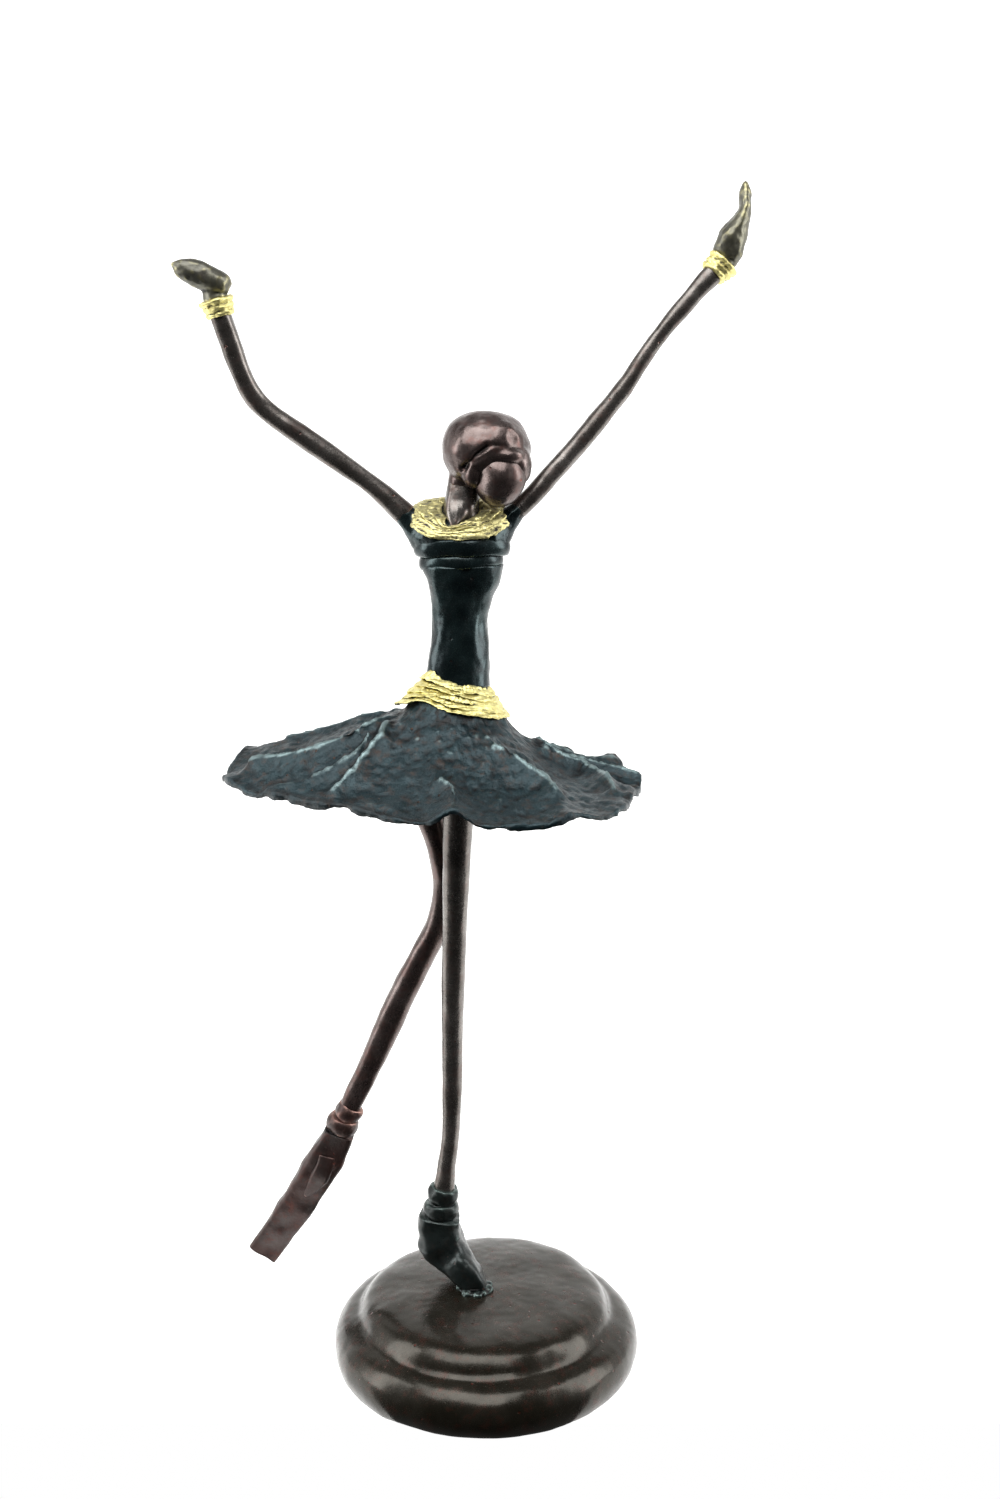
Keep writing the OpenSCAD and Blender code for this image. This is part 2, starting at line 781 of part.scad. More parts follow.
// ---- Arms, bracelets and hands ----

// Arm with a spigot into the shoulder and one through the bracelet into the hand
module arm(stations) {
    color(skin) {
        limb(stations);
        spigot(place_of(stations[0]), -start_dir(stations), shoulder_spigot_r, shoulder_depth);
        spigot(place_of(last(stations)), end_dir(stations), wrist_spigot_r, bracelet_w + wrist_depth);
    }
}

// Cuff that flares from the arm towards the hand
module bracelet(stations) {
    color(brass)
        along(place_of(last(stations)), end_dir(stations))
            difference() {
                rotate_extrude()
                    polygon([
                        [0, 0],
                        [bracelet_r * 0.8, 0],
                        [bracelet_r * 0.95, bracelet_w * 0.15],
                        [bracelet_r * 0.92, bracelet_w * 0.32],
                        [bracelet_r * 1.04, bracelet_w * 0.5],
                        [bracelet_r, bracelet_w * 0.68],
                        [bracelet_r * 1.14, bracelet_w * 0.85],
                        [bracelet_r * 0.9, bracelet_w],
                        [0, bracelet_w]
                    ]);
                translate([0, 0, -1])
                    cylinder(r = wrist_spigot_r + fit_gap, h = bracelet_w + 2);
            }
}

// Where a hand meets its bracelet
function cuff_end(stations) = place_of(last(stations)) + end_dir(stations) * bracelet_w;

// Palm and fingers as one smooth blade, whose stations are offsets from the end of the cuff
module blade(stations, offsets) {
    base = cuff_end(stations);
    limb([for (o = offsets) [base[0] + o[0], base[1] + o[1], base[2] + o[2], o[3], o[4]]], 3, 20);
}

// The right hand bends back over its wrist, palm up
right_hand_offsets = [
    [3.9, -0.1, 2.4, 1.2, 1.2],
    [2.6, -0.3, 3.0, 2.7, 2.8],
    [0.2, -0.8, 4.0, 3.3, 3.4],
    [-3.2, -1.5, 5.4, 3.5, 3.4],
    [-6.4, -2.2, 6.7, 3.0, 2.8],
    [-8.8, -2.7, 7.6, 1.9, 1.8],
    [-9.9, -2.95, 8.0, 0.8, 0.8]
];
right_stub_h = 3.6;

module right_hand() {
    s = right_arm_stations;
    color(skin)
        difference() {
            union() {
                blade(s, right_hand_offsets);
                along(cuff_end(s), end_dir(s))
                    cylinder(r1 = 3.2, r2 = 2.6, h = right_stub_h);
            }
            socket(cuff_end(s), end_dir(s), wrist_spigot_r, wrist_depth);
        }
}

// The left hand points up, seen edge on
left_hand_offsets = [
    [0.6, 0, 0.9, 3.3, 3.2],
    [1.0, 0, 2.6, 4.0, 3.8],
    [1.9, 0, 5.9, 3.8, 4.2],
    [4.0, 0.1, 10.4, 2.5, 3.9],
    [5.0, 0.2, 13.4, 1.7, 3.4],
    [5.0, 0.2, 17.0, 1.6, 2.6],
    [5.0, 0.2, 19.2, 0.7, 1.4]
];

module left_hand() {
    s = left_arm_stations;
    color(skin)
        difference() {
            union() {
                blade(s, left_hand_offsets);
                along(cuff_end(s), end_dir(s))
                    cylinder(r = 3.2, h = 3);
            }
            socket(cuff_end(s), end_dir(s), wrist_spigot_r, wrist_depth);
        }
}

plinth();
toe_pin();
pin_washer();
toe_braze();
on_plinth() standing_shoe();
on_plinth() standing_ribbon_lower();
on_plinth() standing_ribbon_upper();
on_plinth() standing_leg();
on_plinth() free_leg();
on_plinth() free_ribbon_lower();
on_plinth() free_ribbon_upper();
on_plinth() free_shoe();
on_plinth() hip_core();
on_plinth() skirt();
on_plinth() belt_strip(1);  // belt_strip_1
on_plinth() belt_strip(2);  // belt_strip_2
on_plinth() belt_strip(3);  // belt_strip_3
on_plinth() belt_strip(4);  // belt_strip_4
on_plinth() belt_strip(5);  // belt_strip_5
on_plinth() torso();
on_plinth() bodice_trim(1);  // bodice_trim_lower
on_plinth() bodice_trim(2);  // bodice_trim_upper
on_plinth() shoulder_yoke();
on_plinth() collar_strip(1);  // collar_strip_1
on_plinth() collar_strip(2);  // collar_strip_2
on_plinth() collar_strip(3);  // collar_strip_3
on_plinth() collar_strip(4);  // collar_strip_4
on_plinth() neck();
on_plinth() face();
on_plinth() hair_cap();
on_plinth() arm(right_arm_stations);  // right_arm
on_plinth() bracelet(right_arm_stations);  // right_bracelet
on_plinth() right_hand();
on_plinth() arm(left_arm_stations);  // left_arm
on_plinth() bracelet(left_arm_stations);  // left_bracelet
on_plinth() left_hand();
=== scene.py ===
"""Cast dancer on a round plinth: finished castings, brass wraps and a plain studio."""

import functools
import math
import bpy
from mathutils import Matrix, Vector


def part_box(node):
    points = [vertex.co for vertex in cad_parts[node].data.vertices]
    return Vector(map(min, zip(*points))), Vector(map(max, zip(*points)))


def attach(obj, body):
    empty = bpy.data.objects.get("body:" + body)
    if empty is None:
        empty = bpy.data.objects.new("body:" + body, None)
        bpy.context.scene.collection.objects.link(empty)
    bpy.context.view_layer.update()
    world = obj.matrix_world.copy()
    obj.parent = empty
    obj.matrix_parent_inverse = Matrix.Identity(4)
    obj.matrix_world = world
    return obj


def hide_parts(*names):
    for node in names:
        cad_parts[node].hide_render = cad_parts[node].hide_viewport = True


bl_info = {
    "name": "Cast Dancer Statuette",
    "version": (1, 0, 0),
    "blender": (4, 5, 0),
    "location": "View3D > Sidebar > Dancer",
    "description": "Builds the patinated castings and filed brass wraps of a dancer statuette",
    "category": "Object",
}

import bmesh
import bpy
from bpy.props import FloatProperty, FloatVectorProperty, PointerProperty
from mathutils import Matrix, Vector, noise

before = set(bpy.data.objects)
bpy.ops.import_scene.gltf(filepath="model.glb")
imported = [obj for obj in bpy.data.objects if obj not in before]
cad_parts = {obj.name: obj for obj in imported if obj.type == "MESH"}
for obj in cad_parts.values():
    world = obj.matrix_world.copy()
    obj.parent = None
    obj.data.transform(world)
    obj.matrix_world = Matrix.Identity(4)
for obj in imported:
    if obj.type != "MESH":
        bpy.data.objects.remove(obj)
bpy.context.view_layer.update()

MM = 0.001
# The figure is placed from the centre of the plinth's top
PLINTH_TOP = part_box("plinth")[1].z / MM
ON_PLINTH = Vector((0.0, 0.0, PLINTH_TOP))

# Stations of a limb: x, y, z, half width across the view, half depth along it, in mm
STANDING_LEG = (
    (-7.0, 1.0, 150.5, 4.3, 4.2), (-7.5, 1.5, 132.5, 4.1, 4.2), (-8.1, 2.0, 114.5, 3.7, 3.9),
    (-8.7, 2.5, 95.5, 3.3, 3.6), (-9.3, 3.0, 73.5, 2.85, 3.0), (-9.8, 3.0, 46.5, 2.6, 2.7),
    (-11.2, 3.4, 34.5, 2.75, 2.8), (-12.0, 3.5, 28.5, 3.1, 3.1),
)
FREE_LEG = (
    (-16.8, 5.5, 150.5, 3.9, 4.0), (-15.6, 7.5, 138.5, 3.9, 4.1), (-12.7, 9.3, 127.5, 3.8, 4.0),
    (-11.3, 11.0, 116.5, 3.8, 4.0), (-13.0, 12.2, 105.5, 3.7, 3.9), (-18.4, 13.3, 94.5, 3.6, 3.7),
    (-25.4, 15.0, 79.5, 3.75, 3.6), (-33.3, 16.6, 61.5, 3.6, 3.4), (-39.6, 18.1, 47.5, 3.2, 3.0),
)
RIGHT_ARM = (
    (-22.0, -0.3, 221.5, 2.9, 2.9), (-29.6, -1.0, 228.3, 2.6, 2.6), (-42.6, -2.5, 237.6, 2.6, 2.6),
    (-53.6, -3.8, 245.2, 2.65, 2.6), (-59.0, -4.6, 250.0, 2.75, 2.6), (-62.2, -5.6, 256.1, 2.65, 2.6),
    (-64.6, -7.2, 263.5, 2.7, 2.6), (-66.7, -8.4, 270.7, 2.8, 2.7),
)
LEFT_ARM = (
    (8.6, 0.6, 221.5, 2.9, 2.9), (15.4, 2.0, 228.3, 2.75, 2.7), (26.6, 4.0, 240.8, 2.6, 2.5),
    (36.9, 5.0, 253.3, 2.45, 2.4), (45.2, 6.0, 265.7, 2.3, 2.3), (55.4, 7.0, 277.8, 2.4, 2.3),
    (60.0, 7.6, 282.7, 2.6, 2.5),
)
RIBBON_W = 4.6
BRACELET_W = 4.6
BRACELET_R = 4.0
# Where the toe of the standing shoe meets the plinth
TOE_X, TOE_Y = -3.2, -2.6
# Middle of the belt's upper rim, its lean towards the dancer's left, and the width of a wrap and of all five
BELT_X, BELT_Y, BELT_Z = -7.2, 1.0, 175.9
BELT_TILT = math.radians(5)
WRAP_W = 1.85
BELT_W = 5 * WRAP_W


# ---- Sizes and colours a user would change ----


class DancerCasting(bpy.types.PropertyGroup):
    """Shape of the castings."""

    waver: FloatProperty(
        name="Hand waver", description="How far the hand-worked wax wanders from a true surface",
        default=0.00020, min=0.0, max=0.0006, precision=5, unit="LENGTH", subtype="DISTANCE")
    ridge: FloatProperty(
        name="Skirt ridges", description="Height of the long ridges that fan out over the skirt",
        default=0.0046, min=0.0, max=0.005, precision=5, unit="LENGTH", subtype="DISTANCE")
    rag: FloatProperty(
        name="Ragged brass", description="How far the edges of the brass wraps wander",
        default=0.00045, min=0.0, max=0.001, precision=5, unit="LENGTH", subtype="DISTANCE")


def srgb(code):
    """Linear red, green and blue of an sRGB hex colour."""
    shares = (int(code[i:i + 2], 16) / 255 for i in (1, 3, 5))
    return tuple(c / 12.92 if c <= 0.04045 else ((c + 0.055) / 1.055) ** 2.4 for c in shares)


def colour_property(name, description, code):
    return FloatVectorProperty(
        name=name, description=description, default=srgb(code), size=3, min=0.0, max=1.0, subtype="COLOR")


class DancerFinish(bpy.types.PropertyGroup):
    """Colours of the finishes."""

    plinth: colour_property("Plinth", "Brown-black of the plinth", "#25221b")
    limb: colour_property("Limbs", "Brown-black of the arms and legs", "#55504c")
    russet: colour_property("Russet", "Red-brown of the head and the free leg", "#504441")
    skirt: colour_property("Skirt", "Blue-black of the skirt", "#13252a")
    bodice: colour_property("Bodice", "Blue-black of the bodice", "#182224")
    brass: colour_property("Brass", "Filed brass of the wraps", "#f4ecae")


class DancerStudio(bpy.types.PropertyGroup):
    """Light of the studio."""

    room: FloatProperty(
        name="Room light", description="Brightness of the pale room around the object", default=1.0, min=0.0)
    key: FloatProperty(
        name="Overhead light", description="Power of the large overhead panel",
        default=12.0, min=0.0, unit="POWER")
    side: FloatProperty(
        name="Side lights", description="Power of each side panel", default=5.0, min=0.0, unit="POWER")


# ---- Modelling ----


def between(before, here, there, after, t):
    """Place t of the way from here to there, on the smooth run through all four."""
    return 0.5 * (2 * here + (there - before) * t + (2 * before - 5 * here + 4 * there - after) * t * t
                  + (3 * here - before - 3 * there + after) * t ** 3)


def curve(stations, spacing):
    """Smooth run through the stations, with places about spacing apart."""
    points = [Vector(s) for s in stations]
    last = len(points) - 1
    run = []
    for i in range(last):
        near = [points[max(0, min(last, i + k))] for k in (-1, 0, 1, 2)]
        steps = max(1, round((near[2] - near[1]).to_3d().length / spacing))
        run += [between(*near, k / steps) for k in range(steps)]
    return run + [points[-1]]


def outline(points, spacing):
    """Smooth outline for turning, through (radius, height) points."""
    return [(p.x, p.z) for p in curve([(r, 0, z) for r, z in points], spacing)]


def outer_end(stations):
    """Last place of a limb, and the direction it ends in."""
    end = Vector(stations[-1][:3])
    return end, (end - Vector(stations[-2][:3])).normalized()


def headings(run):
    """Direction of the run at each of its places."""
    last = len(run) - 1
    return [(run[min(i + 1, last)].to_3d() - run[max(i - 1, 0)].to_3d()).normalized() for i in range(last + 1)]


def seat(place, heading, half_width=1.0, half_depth=1.0):
    """Turns a flat unit ring square to the heading and stands it at the place."""
    depth = (Vector((0, 1, 0)) - heading * heading.y).normalized()
    side = depth.cross(heading)
    turn = Matrix((side * half_width, depth * half_depth, heading)).transposed().to_4x4()
    turn.translation = place
    return turn


def twins(ring, fresh):
    """New vertices in the order of the ring they were extruded from."""
    fresh = set(fresh)
    return [next(o for e in v.link_edges for o in [e.other_vert(v)]
                 if o in fresh and (o.co - v.co).length < 1e-9) for v in ring]


def ring_edges(ring):
    """Edges of a closed ring of vertices."""
    return [next(e for e in a.link_edges if e.other_vert(a) is b) for a, b in zip(ring, ring[1:] + ring[:1])]


def grow(bm, ring):
    """Extrudes a closed ring of vertices and returns the new ring, still lying on the old one."""
    made = bmesh.ops.extrude_edge_only(bm, edges=ring_edges(ring))["geom"]
    return twins(ring, [g for g in made if isinstance(g, bmesh.types.BMVert)])


def cap(bm, ring):
    """Closes a ring with a fan."""
    face = bmesh.ops.contextual_create(bm, geom=ring_edges(ring))["faces"]
    bmesh.ops.poke(bm, faces=face)


def loft(bm, sides, courses, place):
    """Skins one ring for each course and returns the rings. place(k, *course) is where vertex k lies."""
    rings = []
    for course in courses:
        if rings:
            ring = grow(bm, rings[-1])
        else:
            ring = bmesh.ops.create_circle(bm, segments=sides, radius=1.0)["verts"]
        for k, v in enumerate(ring):
            v.co = place(k, *course)
        rings.append(ring)
    return rings


def close_loft(bm, cuts=0):
    """Joins the last ring of a loft to the first, and turns its faces outwards."""
    bmesh.ops.bridge_loops(bm, edges=[e for e in bm.edges if e.is_boundary])
    if cuts:
        bmesh.ops.subdivide_edges(bm, edges=bm.edges, cuts=cuts, use_grid_fill=True)
    bmesh.ops.recalc_face_normals(bm, faces=bm.faces)


def way_out(k, sides):
    """Angle of vertex k of a ring, and its direction from the axis."""
    angle = math.tau * k / sides
    return angle, Vector((math.cos(angle), math.sin(angle), 0))


def ripple(out, *waves):
    """Noise round a ring: each wave is (height, waves round it, shift)."""
    return sum(height * noise.noise(out * pitch + Vector((0, 0, shift))) for height, pitch, shift in waves)


def sweep(stations, sides=48, spacing=0.8, squareness=0.0, tip=0.0):
    """Closed casting swept through the stations. Three more numbers in a station turn its ring to face that
    way, and tip gives the far end a dome, in shares of its radius."""
    bm = bmesh.new()
    run = curve(stations, spacing)
    ways = [Vector(s[5:8]).normalized() for s in run] if len(run[0]) > 5 else headings(run)
    seats = [seat(s.to_3d(), w, s[3], s[4]) for s, w in zip(run, ways)]
    if tip:
        end, way = run[-1], ways[-1]
        for a in (math.radians(d) for d in (18, 36, 54, 70, 82)):
            seats.append(seat(end.to_3d() + way * end[4] * tip * math.sin(a), way,
                              end[3] * math.cos(a), end[4] * math.cos(a)))
    first = ring = bmesh.ops.create_circle(bm, segments=sides, radius=1.0)["verts"]
    power = 2 + squareness
    for v in ring:
        v.co /= (abs(v.co.x) ** power + abs(v.co.y) ** power) ** (1 / power)
    bmesh.ops.transform(bm, matrix=seats[0], verts=ring)
    for now, then in zip(seats, seats[1:]):
        ring = grow(bm, ring)
        bmesh.ops.transform(bm, matrix=then @ now.inverted(), verts=ring)
    cap(bm, first)
    cap(bm, ring)
    bmesh.ops.recalc_face_normals(bm, faces=bm.faces)
    return bm


def lathe(profile, steps, closed=False):
    """Turned shape from (radius, height) points, spun about +Z."""
    bm = bmesh.new()
    verts = [bm.verts.new((r, 0.0, z)) for r, z in profile]
    edges = [bm.edges.new(pair) for pair in zip(verts, verts[1:])]
    if closed:
        edges.append(bm.edges.new((verts[-1], verts[0])))
    bmesh.ops.spin(bm, geom=verts + edges, cent=(0, 0, 0), axis=(0, 0, 1), angle=math.tau, steps=steps,
                   use_merge=True)
    bmesh.ops.remove_doubles(bm, verts=bm.verts, dist=1e-5)
    bmesh.ops.recalc_face_normals(bm, faces=bm.faces)
    return bm


def egg(centre, half_width, half_depth, half_height, fullness):
    """Egg shape, fuller above its middle by a share."""
    bm = bmesh.new()
    bmesh.ops.create_uvsphere(bm, u_segments=96, v_segments=64, radius=1.0)
    for v in bm.verts:
        swell = 1 + fullness * v.co.z
        v.co = Vector((v.co.x * half_width * swell, v.co.y * half_depth * swell,
                       v.co.z * half_height)) + Vector(centre)
    return bm


def add_ball(bm, centre, radius, stretch):
    """Adds a lump to be melted in."""
    made = bmesh.ops.create_icosphere(bm, subdivisions=3, radius=radius)["verts"]
    bmesh.ops.transform(bm, matrix=Matrix.Translation(centre) @ Matrix.Diagonal((*stretch, 1)), verts=made)


def join(*parts):
    """Puts several shapes in one mesh."""
    whole = bmesh.new()
    for part in parts:
        mesh = bpy.data.meshes.new("part")
        part.to_mesh(mesh)
        part.free()
        whole.from_mesh(mesh)
        bpy.data.meshes.remove(mesh)
    return whole


def melt(bm, grain, rounds):
    """Runs overlapping shapes into one skin, as wax or braze flows together."""
    mesh = bpy.data.meshes.new("melt")
    bm.to_mesh(mesh)
    bm.free()
    lump = bpy.data.objects.new("melt", mesh)
    bpy.context.scene.collection.objects.link(lump)
    remesh = lump.modifiers.new("one skin", "REMESH")
    remesh.mode = "VOXEL"
    remesh.voxel_size = grain
    skin = bpy.data.meshes.new_from_object(lump.evaluated_get(bpy.context.evaluated_depsgraph_get()))
    bpy.data.objects.remove(lump)
    bpy.data.meshes.remove(mesh)
    bm = bmesh.new()
    bm.from_mesh(skin)
    bpy.data.meshes.remove(skin)
    for _ in range(rounds):
        bmesh.ops.smooth_vert(bm, verts=bm.verts, factor=0.5, use_axis_x=True, use_axis_y=True, use_axis_z=True)
    return bm


def weather(bm, amounts, seed, stretch=(1, 1, 1)):
    """Moves the skin in and out by noise: amounts are (height, size) pairs in mm."""
    bm.normal_update()
    moves = []
    for v in bm.verts:
        place = Vector((v.co.x * stretch[0], v.co.y * stretch[1], v.co.z * stretch[2]))
        lift = sum(height * noise.noise(place / size + Vector((seed, 3.7 * i, 1.3)))
                   for i, (height, size) in enumerate(amounts))
        moves.append(v.normal * lift)
    for v, move in zip(bm.verts, moves):
        v.co += move


def press(bm, marks):
    """Presses dents or raises lumps: each mark is (place, radius, height along the skin's normal)."""
    bm.normal_update()
    for place, radius, height in marks:
        centre = Vector(place)
        for v in bm.verts:
            near = (v.co - centre).length / radius
            if near < 1:
                v.co += v.normal * height * (1 - near * near) ** 2


def score(bm, line, width, height):
    """Cuts a crease, or raises a welt, along a line of places."""
    bm.normal_update()
    points = [Vector(p) for p in line]
    moves = []
    for v in bm.verts:
        near = min(gap_to(v.co, a, b) for a, b in zip(points, points[1:]))
        moves.append(v.normal * height * math.exp(-(near / width) ** 2) if near < 3 * width else None)
    for v, move in zip(bm.verts, moves):
        if move:
            v.co += move


def gap_to(place, a, b):
    """Distance from a place to the stretch between a and b."""
    span = b - a
    share = max(0.0, min(1.0, (place - a).dot(span) / span.length_squared))
    return (place - a - span * share).length


def mark_wear_and_shade(bm, reach, rounds=2):
    """Stores how far each place stands proud of its neighbours: 0 in hollows, 0.5 on even ground, 1 on crests.
    The finishes lay rubbed wear on the crests and painted shade in the hollows from it. A layer called shine,
    where a piece has one, is added to it; on the skirt that layer is a painted highlight along the crests of
    the folds."""
    bm.normal_update()
    proud = []
    for v in bm.verts:
        near = [e.other_vert(v).co for e in v.link_edges]
        middle = sum(near, Vector()) / len(near)
        gap = sum((p - v.co).length for p in near) / len(near)
        proud.append((v.co - middle).dot(v.normal) / max(gap * gap, 1e-9))
    bm.verts.index_update()
    for _ in range(rounds):
        proud = [(proud[v.index] + sum(proud[e.other_vert(v).index] for e in v.link_edges))
                 / (1 + len(v.link_edges)) for v in bm.verts]
    layer = bm.verts.layers.float.new("wear_and_shade")
    shine = bm.verts.layers.float.get("shine")
    for v, height in zip(bm.verts, proud):
        v[layer] = max(0.0, min(1.0, 0.5 + height * reach + (v[shine] if shine else 0.0)))


def finish_piece(name, bm, material, node, lift=True, reach=1.2):
    """Turns a shape in mm into a finished piece that stands for its node."""
    mark_wear_and_shade(bm, reach)
    mesh = bpy.data.meshes.new(name)
    if lift:
        bmesh.ops.translate(bm, vec=ON_PLINTH, verts=bm.verts)
    bmesh.ops.scale(bm, vec=(MM, MM, MM), verts=bm.verts)
    bm.to_mesh(mesh)
    bm.free()
    mesh.shade_smooth()
    piece = bpy.data.objects.new(name, mesh)
    bpy.context.scene.collection.objects.link(piece)
    mesh.materials.append(material)
    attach(piece, "root")
    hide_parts(node)


# ---- Finishes ----


def feed(tree, node, feeds):
    """Links or sets a node's inputs. Another node stands for its first live output."""
    for key, value in feeds.items():
        if isinstance(value, bpy.types.Node):
            value = next(o for o in value.outputs if o.enabled)
        if isinstance(value, bpy.types.NodeSocket):
            tree.links.new(value, node.inputs[key])
        else:
            node.inputs[key].default_value = value


def add(tree, kind, feeds=None, **settings):
    """Adds a shader node with its settings, and links or sets its inputs."""
    node = tree.nodes.new("ShaderNode" + kind)
    for name, value in settings.items():
        setattr(node, name, value)
    feed(tree, node, feeds or {})
    return node


def per_mm(size):
    """Noise scale whose features are about size mm across."""
    return 1 / (size * MM)


def rgba(colour):
    return (*(srgb(colour) if isinstance(colour, str) else colour), 1.0)


def blank_material(name):
    """New material, its tree and its shader."""
    material = bpy.data.materials.new(name)
    material.use_nodes = True
    return material, material.node_tree, material.node_tree.nodes["Principled BSDF"]


def patina(name, ground, bloom, rust, rub, gloss, matt, coat, metal, pit_depth, grain_depth, rust_share,
           rub_from, rub_to):
    """Chemical patina under wax. ground is its main colour, or the property that holds it, and bloom its
    cloudy second one. Rust lies in pits and patches, the hollows are painted in near-black shade, and rub is
    where handling has worn it through, together with any painted highlight that a piece's shine layer adds."""
    material, tree, shader = blank_material(name)
    ground = getattr(bpy.context.scene.dancer_finish, ground, ground)
    place = add(tree, "TexCoord").outputs["Object"]
    wear_and_shade = add(tree, "Attribute", attribute_name="wear_and_shade", attribute_type="GEOMETRY").outputs["Fac"]
    cloud = add(tree, "TexNoise", {"Vector": place, "Scale": per_mm(9), "Detail": 6.0, "Roughness": 0.62})
    patch = add(tree, "TexNoise", {"Vector": place, "Scale": per_mm(3.2), "Detail": 5.0, "Roughness": 0.7})
    grain = add(tree, "TexNoise", {"Vector": place, "Scale": per_mm(0.55), "Detail": 3.0, "Roughness": 0.6})

    # Casting pits up to 0.8 mm across, in about one cell of four, pulled out of round by up to 1.1 mm
    torn = add(tree, "TexNoise", {"Vector": place, "Scale": per_mm(1.1), "Detail": 2.0}).outputs["Color"]
    pulled = add(tree, "VectorMath", {0: torn, 1: (1.1 * MM,) * 3, 2: place}, operation="MULTIPLY_ADD")
    cells = add(tree, "TexVoronoi", {"Vector": pulled, "Scale": per_mm(2.6), "Randomness": 1.0})
    hole = add(tree, "MapRange", {"Value": cells, "From Min": 0.05, "From Max": 0.19, "To Min": 1.0,
                                  "To Max": 0.0}, interpolation_type="SMOOTHSTEP")
    chosen = add(tree, "SeparateColor", {"Color": cells.outputs["Color"]}).outputs["Red"]
    kept = add(tree, "MapRange", {"Value": chosen, "From Min": 0.70, "From Max": 0.95})
    pit = add(tree, "Math", {0: hole, 1: kept}, operation="MULTIPLY")

    clouded = add(tree, "MapRange", {"Value": cloud, "From Min": 0.40, "From Max": 0.66})
    base = add(tree, "Mix", {"Factor": clouded, "A": rgba(ground), "B": rgba(bloom)}, data_type="RGBA")
    rusty = add(tree, "MapRange", {"Value": patch, "From Min": 0.52, "From Max": 0.70, "To Max": rust_share})
    pitted = add(tree, "Math", {0: rusty, 1: pit}, operation="MAXIMUM")
    sore = add(tree, "Mix", {"Factor": pitted, "A": base, "B": rgba(rust)}, data_type="RGBA")
    # Painted shade: the colour runs to near black in the hollows
    painted_shade = add(tree, "MapRange", {"Value": wear_and_shade, "From Min": 0.48, "From Max": 0.22, "To Max": 0.85})
    shaded = add(tree, "Mix", {"Factor": painted_shade, "A": sore, "B": rgba("#060505")}, data_type="RGBA")
    # Wear follows the crests, broken up by the grain of the casting; on the skirt this mix also lays on the
    # painted highlight of its shine layer
    broken = add(tree, "Math", {0: patch, 1: 0.45, 2: -0.22}, operation="MULTIPLY_ADD")
    raised = add(tree, "Math", {0: wear_and_shade, 1: broken}, operation="ADD")
    rub_and_highlight = add(tree, "MapRange", {"Value": raised, "From Min": rub_from, "From Max": rub_to},
                 interpolation_type="SMOOTHSTEP")
    colour = add(tree, "Mix", {"Factor": rub_and_highlight, "A": shaded, "B": rgba(rub)}, data_type="RGBA")

    dull = add(tree, "Math", {0: patch, 1: grain}, operation="ADD")
    rough = add(tree, "MapRange", {"Value": dull, "From Min": 0.75, "From Max": 1.25, "To Min": gloss,
                                   "To Max": matt})
    bare = add(tree, "MapRange", {"Value": rub_and_highlight, "To Min": metal, "To Max": min(1.0, metal + 0.35)})
    # Heights in mm: pits cut in, grain and patches stand out
    rise = add(tree, "Math", {0: grain, 1: grain_depth}, operation="MULTIPLY")
    lumpy = add(tree, "Math", {0: patch, 1: grain_depth * 4, 2: rise}, operation="MULTIPLY_ADD")
    height = add(tree, "Math", {0: pit, 1: -pit_depth, 2: lumpy}, operation="MULTIPLY_ADD")
    bump = add(tree, "Bump", {"Height": height, "Distance": MM, "Strength": 1.0})
    feed(tree, shader, {"Base Color": colour, "Roughness": rough, "Metallic": bare, "Normal": bump,
                        "Coat Weight": coat, "Coat Roughness": 0.12})
    return material
